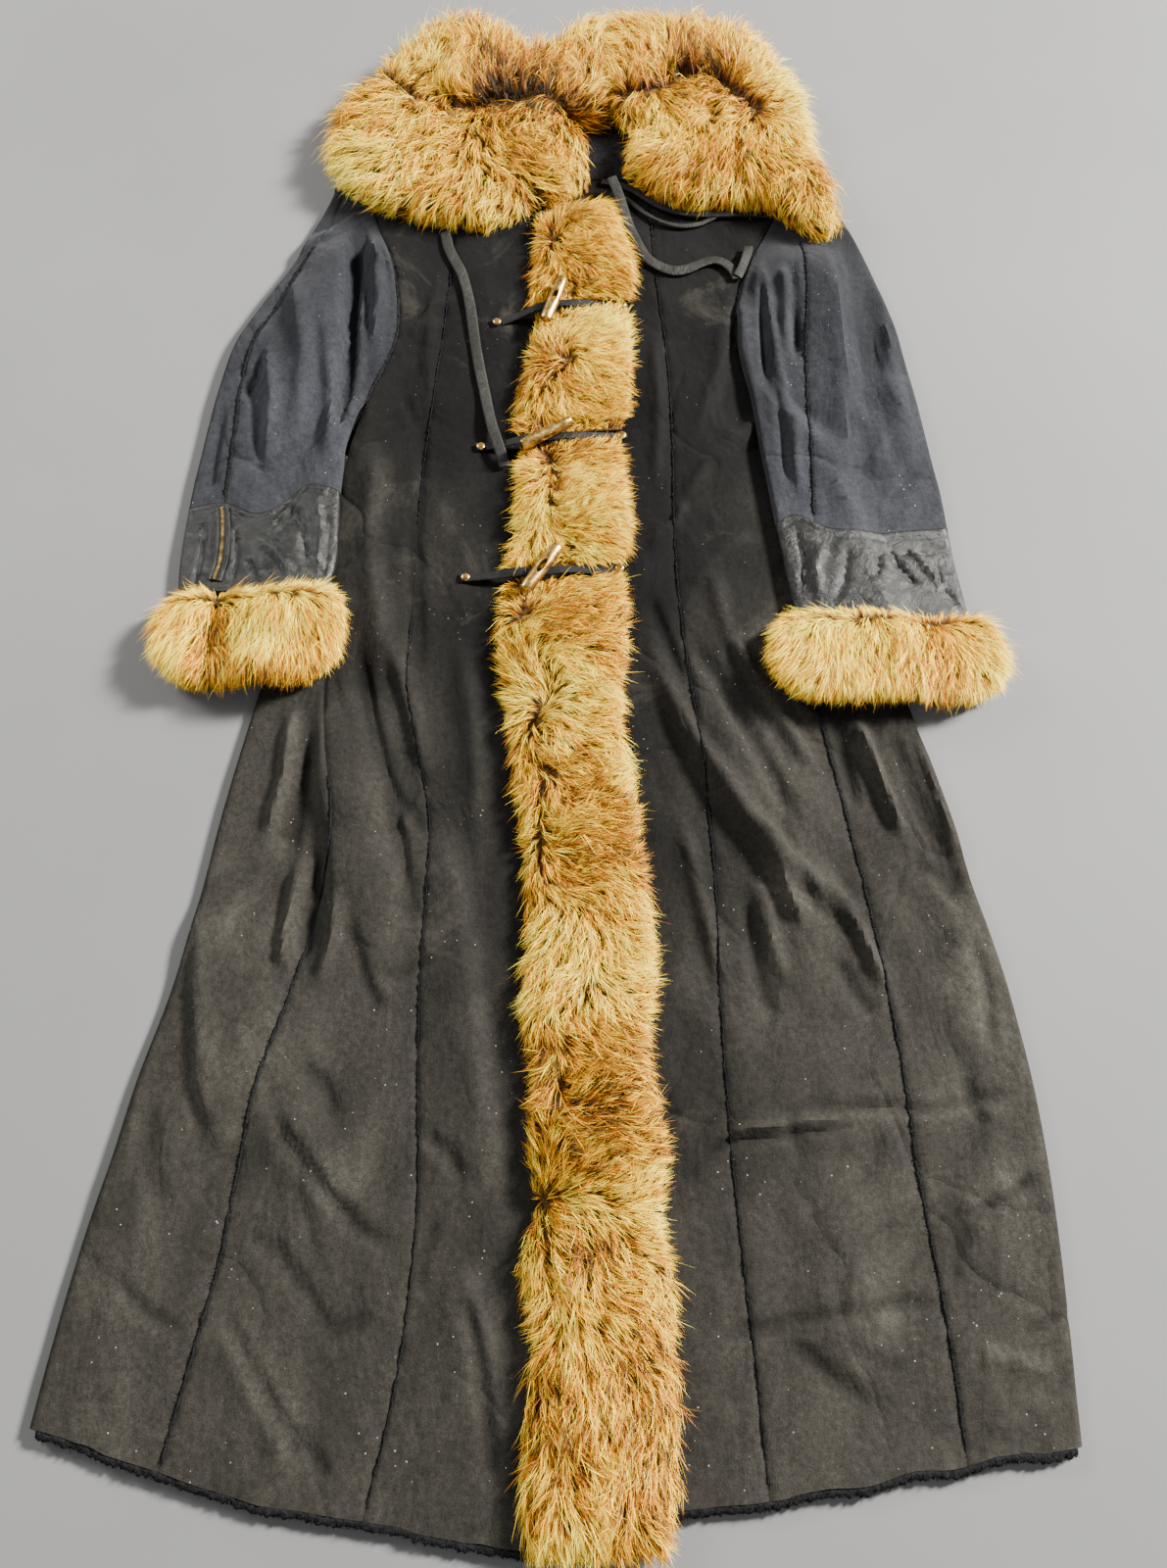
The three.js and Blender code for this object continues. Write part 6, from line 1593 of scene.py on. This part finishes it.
def cuffPelt(side):
    sign = signOf[side]
    read = rowReader(cuffFurs[side])
    first, last = cuffFurs[side]["down"][0], cuffFurs[side]["down"][-1]
    rows = [], []
    for down in np.linspace(first + 3.0, last - 5.0, cuffSize["rows"]):
        row = {key: float(at(down)) for key, at in read.items()}
        row["inner"] += sign * cuffSize["inset"]
        row["outer"] -= sign * cuffSize["inset"]
        row["rests"] = bodyClear
        places = underPlaces(side, row, down, cuffSize["round"])
        near, far = places["near"], places["far"]
        high = cuffSize["rise"] * row["swell"] * cuffSize["pelt"]
        x = np.linspace(far, near, 30)
        share = np.clip((x - near) / (far - near), 0.0, 1.0)
        ground = groundAt(side, bodyClear, x, down)
        lobes = cuffSize["lump"] * softNoise(x, np.full(x.shape, down), 26.0, 101)
        if side == "R":
            lobes = lobes - cuffSize["valleyDepth"] * np.exp(-(((x - cuffSize["valley"]) / 11.0) ** 2))
        top = ground + high * (0.9 + 0.1 * np.sin(np.pi * share)) + lobes
        slit = ground + high * cuffSize["slitAt"]
        ux = np.linspace(near, far, 12)
        lowZ = groundAt(side, bodyClear, ux, down)

        def roundEnd(edge, way, atTop, atLow):
            ends = (np.array([end]) for end in (atLow, atTop))
            across, height = foldArc(np.array([edge]), way, *ends, 0.0, 8, cuffSize["round"])[:2]
            up = (height[0] - atLow) / (atTop - atLow)
            middle = atLow + (atTop - atLow) * cuffSize["slitAt"]
            bend = np.full(up.shape, edge - way * cuffSize["round"])
            return across[0], height[0], bend, middle + cuffSize["slit"] * up

        addRow(rows, [
            (x, top, x, slit + cuffSize["slit"]),
            roundEnd(row["inner"], -sign, top[-1], lowZ[0]),
            (ux, lowZ, ux, lowZ + high * cuffSize["slitAt"]),
            tuple(part[::-1] for part in roundEnd(row["outer"], sign, top[0], lowZ[-1])),
        ], lambda x: down)
    outer, inner = np.array(rows[0]), np.array(rows[1])
    name = f"fur_pelt_cuff_{side}"
    addPiece(name, closedGrid(name, outer, inner, True), furPelt, [f"cuff_fur_{side}"], 70.0)
    points = outer.reshape(-1, 3)
    quads = gridQuads(closedIndex(*outer.shape[:2]))
    cross = np.cross(points[quads[:, 1]] - points[quads[:, 0]], points[quads[:, 2]] - points[quads[:, 0]])
    high = points[quads].mean(axis=1)[:, 2] > outer[:, :, 2].mean()
    quads = quads if cross[high, 2].sum() > 0 else quads[:, ::-1]
    down = np.linspace(first, last, 14)
    outline = [np.stack([read[edge](at), yOf(at)], axis=1)
               for edge, at in (("inner", down), ("outer", down[::-1]))]
    return {"points": points, "grow": quads, "outline": np.concatenate(outline)}


# The pile of a cuff hangs towards the hand, and a few locks turn up where it begins
def cuffFlow(side):
    rows = cuffFurs[side]
    first, last = rows["down"][0], rows["down"][-1]
    centre = (rows["inner"].mean() + rows["outer"].mean()) / 2

    def flowAt(x, down):
        along = np.tanh((first + 0.13 * (last - first) - down) / 7.0)
        out = 1.1 * ((x - centre) / 95.0) ** 3 + 0.3 * softNoise(x, down, 30.0, 111)
        if side == "R":
            past = x - cuffSize["valley"]
            out = out + 0.7 * np.tanh(past / 8.0) * np.exp(-((past / 30.0) ** 2))
        return turned(np.stack([out, along], axis=1), 0.3 * softNoise(x, down, 16.0, 112))

    return flowAt


for side in "RL":
    growFur(f"fur_cuff_{side}", cuffPelt(side), cuffSize["locks"], cuffFlow(side),
            lambda x, down, tones=cuffTones[side]: toneAmong(tones, 0.75, x, down, 121), cuffFurLook, 131)
print("fur cuffs made")


# The hood under its fur, with the hollow at the neck
hoodForm = {"rise": 9.7, "hollow": 5.2, "crease": 1.4}


def makeHood(size):
    rim = rimPlaces(hoodEdge, 160)
    mx, md = 20.0, -92.0
    rings = []
    for share in (0.06, 0.14, 0.24, 0.33, 0.42, 0.55, 0.7, 0.85, 0.96, 0.985, 1.0):
        x, down = mix(mx, rim["x"], share), mix(md, rim["down"], share)
        z = mix(size["hollow"], size["rise"], smooth((share - 0.2) / 0.22))
        z = z + size["crease"] * softNoise(x, down * 0.4, 16.0, 141) * smooth((0.9 - share) / 0.3) - 0.9
        z = np.minimum(z, size["rise"]) if share < 1.0 else np.full(x.shape, size["rise"] / 2)
        rings.append(stacked(x, down, z))
    rings.append(stacked(mix(mx, rim["x"], 0.985), mix(md, rim["down"], 0.985), 0.0))
    points, quads, tris = fanForm([mx, yOf(md), size["hollow"]], np.array(rings), [mx, yOf(md), 0.0])
    quads, tris = turnedUp(points, quads, tris, 600)
    addPiece("hood_lining", newMesh("hood_lining", points, quads, tris), fleece, ["hood"])


makeHood(hoodForm)


# Raw fleece that shows along the seams
seamFleeceSize = {"step": 2.6, "rise": 1.5, "width": 0.7, "every": 0.85}


# Tufts of five points: two at the root, two half way up and a tip. They are added to a closed ridge.
def addFleece(name, points, quads, tris, root, middle, tip, flat, half, lowest=None):
    tufts = np.stack([root - flat * half, root + flat * half, middle + flat * half * 0.7,
                      middle - flat * half * 0.7, tip], axis=1).reshape(-1, 3)
    if lowest is not None:
        tufts[:, 2] = np.maximum(tufts[:, 2], lowest)
    ids = np.arange(len(root))[:, None] * 5 + len(points)
    quads = np.concatenate([quads, ids + np.array([0, 1, 2, 3])])
    tris = np.concatenate([tris, ids + np.array([3, 2, 4])])
    mesh = newMesh(name, np.concatenate([points, tufts]), quads, tris)
    addPiece(name, mesh, fleece, sharpDegrees=None)


def makeSeamFleece(name, route, seed, ridge, tuft):
    rng = np.random.default_rng(seed)
    route = smoothRoute(route, seamFleeceSize["step"])
    count = len(route)
    way = unit(np.gradient(route, axis=0))
    side = sideOf(way)
    wide = ridge * (0.75 + 0.5 * rng.random(count))
    high = seamFleeceSize["rise"] * (0.6 + 0.9 * rng.random(count))
    shift = rng.normal(0.0, 0.35, count)
    across = np.array([-0.5, -0.3, 0.0, 0.3, 0.5])
    rise = np.array([-0.6, 0.7, 1.0, 0.7, -0.6])
    outer = route[:, None] + side[:, None] * (across[None, :] * wide[:, None] + shift[:, None])[..., None]
    inner = outer.copy()
    outer[:, :, 2] += rise[None, :] * high[:, None]
    inner[:, :, 2] -= 1.4
    ends = np.clip(np.minimum(np.arange(count), np.arange(count)[::-1]) / 2.0, 0.1, 1.0)[:, None]
    outer[:, :, 2] = inner[:, :, 2] + (outer[:, :, 2] - inner[:, :, 2]) * ends
    number = int(lengthOf(route) / seamFleeceSize["every"])
    pick = rng.random(number) * (count - 1)
    i = pick.astype(int)
    f = (pick - i)[:, None]
    root = route[i] * (1 - f) + route[i + 1] * f + side[i] * rng.normal(0.0, ridge * 0.22, number)[:, None]
    root[:, 2] += 0.4
    lean = side[i] * rng.normal(0.0, 0.8, number)[:, None] + way[i] * rng.normal(0.0, 0.6, number)[:, None]
    lean[:, 2] = 0.25 + 0.35 * rng.random(number)
    lean = unit(lean)
    reach = tuft * rng.uniform(0.4, 1.0, number)[:, None]
    flat = unit(np.cross(lean, rng.normal(0.0, 1.0, (number, 3))))
    half = seamFleeceSize["width"] * rng.uniform(0.6, 1.2, number)[:, None] / 2
    middle = root + lean * reach * 0.55 + rng.normal(0.0, 0.3, (number, 3))
    tip = root + lean * reach + rng.normal(0.0, 0.5, (number, 3))
    points = np.concatenate([outer.reshape(-1, 3), inner.reshape(-1, 3)])
    quads, tris = turnedOut(points, *gridFaces(count, 5, every=1))
    addFleece(name, points, quads, tris, root, middle, tip, flat, half)


def seamRoute(at, start, end, drop=0.9):
    down = np.arange(start, end, 6.0)
    x = at(down)
    return stacked(x, bodyDown(x, down), creasedTop(x, down) - drop)


def sleeveSeamRoute(side, start, end):
    rows = []
    for down in np.arange(start, end, 6.0):
        row = sleeveRow(side, down)
        x = np.array([row["seam"]])
        z = sleeveTop(side, row, x, down, sleeveCreases)[0] - 0.9
        rows.append([x[0], yOf(float(cuffDown(side, x, bodyDown(x, down))[0])), z])
    return np.array(rows)


def armholeRoute(side, start, end):
    down = np.arange(start, end, 6.0)
    x = line[side]["edge"](down) + signOf[side] * 0.15
    return stacked(x, bodyDown(x, down), np.full(x.shape, clothSize["bodyRise"] - 1.4))


seamFleece = {
    "seam_fleece_princess_R": (seamRoute(line["R"]["princess"], 90.0, 1254.0, 1.5), 1.0, 1.8),
    "seam_fleece_princess_L": (seamRoute(line["L"]["princess"], 60.0, 1254.0, 1.3), 1.5, 2.6),
    "seam_fleece_side_R": (seamRoute(line["R"]["side"], 700.0, 1254.0, 1.2), 2.4, 4.2),
    "seam_fleece_side_L": (seamRoute(line["L"]["side"], 625.0, 1254.0, 1.2), 2.8, 4.6),
    "seam_fleece_sleeve_R": (sleeveSeamRoute("R", 100.0, 416.0), 3.0, 4.4),
    "seam_fleece_sleeve_L": (sleeveSeamRoute("L", 90.0, 444.0), 2.6, 4.0),
    "seam_fleece_armhole_R": (armholeRoute("R", 100.0, 300.0), 3.4, 5.4),
    "seam_fleece_armhole_L": (armholeRoute("L", 100.0, 196.0), 2.6, 4.0),
}
for number, (name, (route, ridge, tuft)) in enumerate(seamFleece.items()):
    makeSeamFleece(name, route, 151 + number, ridge, tuft)
print("seam fleece made")


# Fleece that hangs past the suede at the hem
hemLook = {"reach": 5.5, "tuft": 5.0, "every": 1.1, "layers": ((0.6, 3.6), (4.6, 8.4))}


def makeHemFleece(look):
    rng = np.random.default_rng(171)
    hem = clothSize["hem"]
    x = np.arange(float(line["R"]["edge"](hem)) + 6.0, float(line["L"]["edge"](hem)) - 4.0, 2.2)
    for number, (low, high) in enumerate(look["layers"]):
        start = hemEdge(x) + 0.3
        reach = look["reach"] * (0.7 + 0.6 * rng.random(len(x)))
        share = np.array([0.0, 0.35, 0.7, 1.0])
        down = start[None, :] + share[:, None] * reach[None, :]
        thick = (high - low) * np.array([1.0, 1.0, 0.85, 0.3])[:, None]
        middle = (low + high) / 2 + 0.3 * rng.normal(0.0, 1.0, (4, len(x)))
        outer = stacked(np.broadcast_to(x, down.shape), down, middle + thick / 2)
        inner = stacked(np.broadcast_to(x, down.shape), down, np.maximum(middle - thick / 2, 0.3))
        points = np.concatenate([outer.reshape(-1, 3), inner.reshape(-1, 3)])
        quads, joins = turnedOut(points, *gridFaces(4, len(x), every=1))
        amount = int((x[-1] - x[0]) / look["every"] * 4)
        rootX = rng.uniform(x[0], x[-1], amount)
        root = stacked(rootX, hemEdge(rootX) + 1.0 + rng.uniform(0.0, 3.0, amount),
                       rng.uniform(low, high, amount))
        lean = unit(rng.normal(0.0, 0.45, (amount, 3)) + np.array([0.0, -1.0, 0.05]))
        tip = root + lean * (look["tuft"] * rng.uniform(0.5, 1.1, amount))[:, None]
        tip[:, 2] = np.maximum(tip[:, 2], 0.3)
        flat = unit(np.cross(lean, rng.normal(0.0, 1.0, (amount, 3))))
        half = (0.4 * rng.uniform(0.6, 1.3, amount))[:, None]
        middle = (root + tip) / 2 + rng.normal(0.0, 0.35, (amount, 3))
        addFleece(f"hem_fleece_{number + 1}", points, quads, joins, root, middle, tip, flat, half, 0.2)


makeHemFleece(hemLook)
print("hem made")


# Toggles, straps, rivets and studs
def latheMesh(name, profile, around=28):
    profile = np.array(profile, dtype=float)
    angles = np.linspace(0.0, 2 * np.pi, around, endpoint=False)
    x = profile[:, 0, None] * np.cos(angles)[None, :]
    y = profile[:, 0, None] * np.sin(angles)[None, :]
    z = np.broadcast_to(profile[:, 1, None], x.shape)
    rings = np.stack([x, y, z], axis=-1)
    points = np.concatenate([rings.reshape(-1, 3), [[0, 0, profile[0, 1]], [0, 0, profile[-1, 1]]]])
    return newMesh(name, points, *tubeFaces(len(profile), around))


def faceOut(mesh):
    points = pointsOf(mesh).astype(float)
    mesh.calc_loop_triangles()
    tris = np.empty(len(mesh.loop_triangles) * 3, dtype=np.int32)
    mesh.loop_triangles.foreach_get("vertices", tris)
    a, b, c = (points[tris.reshape(-1, 3)[:, k]] for k in range(3))
    if np.einsum("ij,ij->i", a, np.cross(b, c)).sum() < 0:
        mesh.flip_normals()


def moveMesh(mesh, place, turnZ=0.0, turnX=0.0):
    points = pointsOf(mesh)
    cx, sx = math.cos(turnX), math.sin(turnX)
    y, z = points[:, 1] * cx - points[:, 2] * sx, points[:, 1] * sx + points[:, 2] * cx
    cz, sz = math.cos(turnZ), math.sin(turnZ)
    x, y = points[:, 0] * cz - y * sz, points[:, 0] * sz + y * cz
    setPoints(mesh, np.stack([x, y, z], axis=1) + np.array(place, dtype=np.float32) / 1000.0)


# A horn-shaped bar, slightly swollen, with an oval eye cut through it and softened edges
def toggleMesh(name, size):
    half, r = size["length"] / 2, size["radius"]
    profile = [
        [0.3, -half], [r * 0.6, -half + 0.15], [r * 0.8, -half + 0.9], [r * 0.88, -half + 2.4],
        [r * 0.94, -half * 0.7], [r * 0.98, -half * 0.4], [r, 0.0], [r * 0.98, half * 0.4],
        [r * 0.93, half * 0.7], [r * 0.86, half - 2.4], [r * 0.76, half - 0.9], [r * 0.56, half - 0.15],
        [0.3, half],
    ]
    bar = latheMesh(name + "_bar", profile, 36)
    points = pointsOf(bar)
    setPoints(bar, np.stack([points[:, 2], points[:, 0], points[:, 1] * size["flat"]], axis=1))
    cutter = latheMesh(name + "_eye", [[1.0, -12.0], [1.0, 12.0]], 32)
    setPoints(cutter, pointsOf(cutter) * [size["eyeLong"], size["eyeWide"], 1.0])
    faceOut(bar)
    faceOut(cutter)
    body, tool = addObject(name + "_bar", bar), addObject(name + "_eye", cutter)
    cut = body.modifiers.new("eye", "BOOLEAN")
    cut.operation = "DIFFERENCE"
    cut.solver = "EXACT"
    cut.object = tool
    soften = body.modifiers.new("edge", "BEVEL")
    soften.width = 0.0006
    soften.segments = 2
    soften.angle_limit = math.radians(50)
    shape = bpy.data.meshes.new_from_object(body.evaluated_get(bpy.context.evaluated_depsgraph_get()))
    for made in (body, tool):
        bpy.data.objects.remove(made)
    shape.name = name
    shape.shade_smooth()
    return shape


strapSize = {"width": 9.0, "thick": 2.0, "rivet": 4.2, "stud": 2.6, "lift": 0.9}


def addRivet(name, radius, place, node):
    mesh = latheMesh(name, [[radius * 0.97, 0.0], [radius, 0.25], [radius * 0.97, 0.6], [radius * 0.8, 1.15],
                            [radius * 0.5, 1.5], [radius * 0.3, 1.55], [0.12, 1.5]])
    faceOut(mesh)
    moveMesh(mesh, place)
    addPiece(name, mesh, brass, [node], 40.0)


def makeToggle(number, row):
    middle = np.array([row["x"], yOf(row["down"]), toggleSize["height"]])
    mesh = toggleMesh(f"toggle_{number}_metal", toggleSize)
    moveMesh(mesh, middle, math.radians(row["turn"]), math.radians(row["onEdge"]))
    addPiece(f"toggle_{number}_metal", mesh, brass, [f"toggle_{number}"], 40.0)
    low = clothSize["bodyRise"] + 0.3 + strapSize["thick"] / 2
    high = toggleSize["height"] - toggleSize["flat"] * toggleSize["radius"] - 0.3 - strapSize["thick"] / 2
    for side in "RL":
        end = np.array([row["rivet" + side][0], yOf(row["rivet" + side][1]), low])
        way = (middle - end) * [1.0, 1.0, 0.0]
        length = np.linalg.norm(way) - 1.0
        way /= np.linalg.norm(way)
        stations = np.array([-5.0, 4.0, length * 0.35, length * 0.6, length * 0.8, length])
        rise = (high - low) * smooth((stations - 6.0) / (length * 0.8 - 6.0))
        route = end[None, :] + way[None, :] * stations[:, None]
        route[:, 2] = low + rise
        route = smoothRoute(route, 3.0)
        bow = 0.25 * np.sin(np.linspace(0.0, 7.0, len(route)) + number)
        name = f"toggle_strap_{side}_{number}"
        addPiece(name, strapMesh(name, route, strapSize["width"], strapSize["thick"], bow), strapLeather,
                 [f"strap_{side}_{number}"])
        place = end + [0.0, 0.0, strapSize["thick"] / 2 + 0.3]
        addRivet(f"rivet_head_{side}_{number}", strapSize["rivet"], place, f"rivet_{side}_{number}")


for number, row in enumerate(toggleRows, start=1):
    makeToggle(number, row)
neckRise = clothSize["bodyRise"] + strapSize["lift"] + strapSize["thick"] / 2
neckRoute = smoothRoute([[x, yOf(down), neckRise] for x, down in neckStrap], 3.0)
mesh = strapMesh("neck_strap_leather", neckRoute, strapSize["width"], strapSize["thick"])
addPiece("neck_strap_leather", mesh, strapLeather, ["neck_strap"])
for side, (x, down) in {"R": (-47, 55.5), "L": (-2, 42)}.items():
    place = [x, yOf(down), neckRise + strapSize["thick"] / 2 + 0.3]
    addRivet(f"stud_head_{side}", strapSize["stud"], place, f"stud_{side}")
print("toggles and straps made")


# Binding at the lower edge of the hood's fur, rolled over a cord that shows below it
bindingSize = {"width": 7.0, "thick": 3.4, "lift": 0.9, "roll": 0.1, "wave": 3.0, "route": [
    [20, 9, 0], [38, 13, 0], [54, 22, 0], [70, 35, 0], [88, 47, 0], [110, 54.5, 0], [140, 55.5, 0],
    [170, 55, 0], [196, 56, 0],
]}
drawcordSize = {"width": 5.0, "thick": 2.2, "lift": 0.7, "roll": 0.3, "wave": 4.0, "route": [
    [36, 24, 0], [50, 36, 0], [66, 52, 0], [84, 64, 0], [104, 70, 0], [122, 68, 0], [134, 62, 0],
    [142, 57, -0.4],
]}
for name, size, material, nodes in (("hood_binding_leather", bindingSize, strapLeather, ["hood_binding_L"]),
                                    ("hood_binding_roll", drawcordSize, tieLeather, [])):
    route = smoothRoute(onFront(size["route"], size["thick"], size["lift"]), 3.0)
    roll = size["roll"] * np.sin(np.arange(len(route)) / size["wave"])
    addPiece(name, strapMesh(name, route, size["width"], size["thick"], roll), material, nodes)
print("binding made")


# The zip: a tape let into the cuff, with two rows of teeth between welts
zipRows = [[-347, 424], [-344, 440], [-342, 462], [-341.5, 484], [-345, 504]]
zipSize = {"tape": 9.0, "thick": 1.0, "tooth": 2.3, "toothLong": 1.0, "pitch": 1.9, "rise": 0.8,
           "stagger": 0.6, "weltAt": 5.2, "welt": 3.4, "weltThick": 1.9}


def zipRoute(lift):
    rows = []
    for x, down in zipRows:
        top = sleeveTop("R", cuffRow("R", down), np.array([float(x)]), down, cuffCreases)[0]
        rows.append([x, yOf(down), top + lift])
    return smoothRoute(rows, 1.0)


def makeZip(size):
    tapeRoute = zipRoute(0.9 + size["thick"] / 2)[::3]
    mesh = strapMesh("zip_tape", tapeRoute, size["tape"], size["thick"])
    addPiece("zip_tape", mesh, strapLeather, ["zip_R"])
    route = zipRoute(1.2 + size["thick"])
    way = unit(np.gradient(route, axis=0))
    side = sideOf(way)
    box = np.array([[x, y, z] for x in (-1, 1) for y in (-1, 1) for z in (-1, 1)], dtype=float)
    boxQuads = np.array([[0, 1, 3, 2], [4, 6, 7, 5], [0, 4, 5, 1],
                         [2, 3, 7, 6], [0, 2, 6, 4], [1, 5, 7, 3]])
    points, quads = [], []
    at = 0.0
    while at < len(route) - 1:
        i = int(at)
        centre = route[i] + side[i] * (size["stagger"] if len(points) % 2 else -size["stagger"])
        quads.append(boxQuads + 8 * len(points))
        points.append(centre + box[:, :1] * side[i] * size["tooth"] / 2
                      + box[:, 1:2] * way[i] * size["toothLong"] / 2
                      + box[:, 2:3] * np.array([0.0, 0.0, size["rise"] / 2]))
        at += size["pitch"] / 2
    mesh = newMesh("zip_teeth", np.concatenate(points), np.concatenate(quads))
    faceOut(mesh)
    addPiece("zip_teeth", mesh, zipBrass, sharpDegrees=30.0)
    for name, shift in (("zip_welt_in", -size["weltAt"]), ("zip_welt_out", size["weltAt"])):
        beside = tapeRoute + side[::3][: len(tapeRoute)] * shift
        beside[:, 2] -= 0.2
        addPiece(name, strapMesh(name, beside, size["welt"], size["weltThick"]), leather)


makeZip(zipSize)
print("zip made")


# Floor and light
stageLook = {
    "floor": (paint(106, 106, 106), paint(113, 113, 112)),
    "key": {"place": (4.2, 1.9, 2.8), "size": 0.9, "power": 1780.0, "gloss": 1.0,
            "color": (1.0, 0.98, 0.94)},
    "fill": {"place": (-2.6, 1.8, 1.9), "size": 1.2, "power": 150.0, "gloss": 0.5,
             "color": (1.0, 0.99, 0.97)},
    "low": {"place": (0.2, -2.2, 1.6), "size": 2.0, "power": 12.0, "gloss": 0.3,
            "color": (1.0, 0.99, 0.97)},
    "world": ((0.96, 0.98, 1.0, 1.0), 0.34),
}


def makeStage(look):
    points = np.array([[-25000, -25000, -0.6], [25000, -25000, -0.6], [25000, 25000, -0.6],
                       [-25000, 25000, -0.6]])
    mesh = newMesh("floor", points, np.array([[0, 1, 2, 3]]))
    material, tree, shader = newMaterial("floorPaint")
    dark, pale = look["floor"]
    tint = ramp(tree, noise(tree, placeOf(tree), 2.0, 3.0), [(0.3, dark), (0.7, pale)])
    setSockets(tree, shader, {"Base Color": tint, "Roughness": 0.8})
    mesh.materials.append(material)
    addObject("floor", mesh)
    for name in ("key", "fill", "low"):
        lamp = look[name]
        data = bpy.data.lights.new(name, "AREA")
        data.shape = "DISK"
        data.size = lamp["size"]
        data.energy = lamp["power"]
        data.color = lamp["color"]
        data.specular_factor = lamp["gloss"]
        light = addObject(name, data)
        light.location = lamp["place"]
        aim = -np.array(lamp["place"])
        light.rotation_euler = (math.atan2(math.hypot(aim[0], aim[1]), -aim[2]), 0.0,
                                math.atan2(aim[1], aim[0]) - math.pi / 2)
    world = bpy.data.worlds.new("studio")
    world.use_nodes = True
    background = world.node_tree.nodes["Background"]
    background.inputs["Color"].default_value = look["world"][0]
    background.inputs["Strength"].default_value = look["world"][1]
    bpy.context.scene.world = world


makeStage(stageLook)
print("stage made,", triangleCount["all"], "triangles in all")
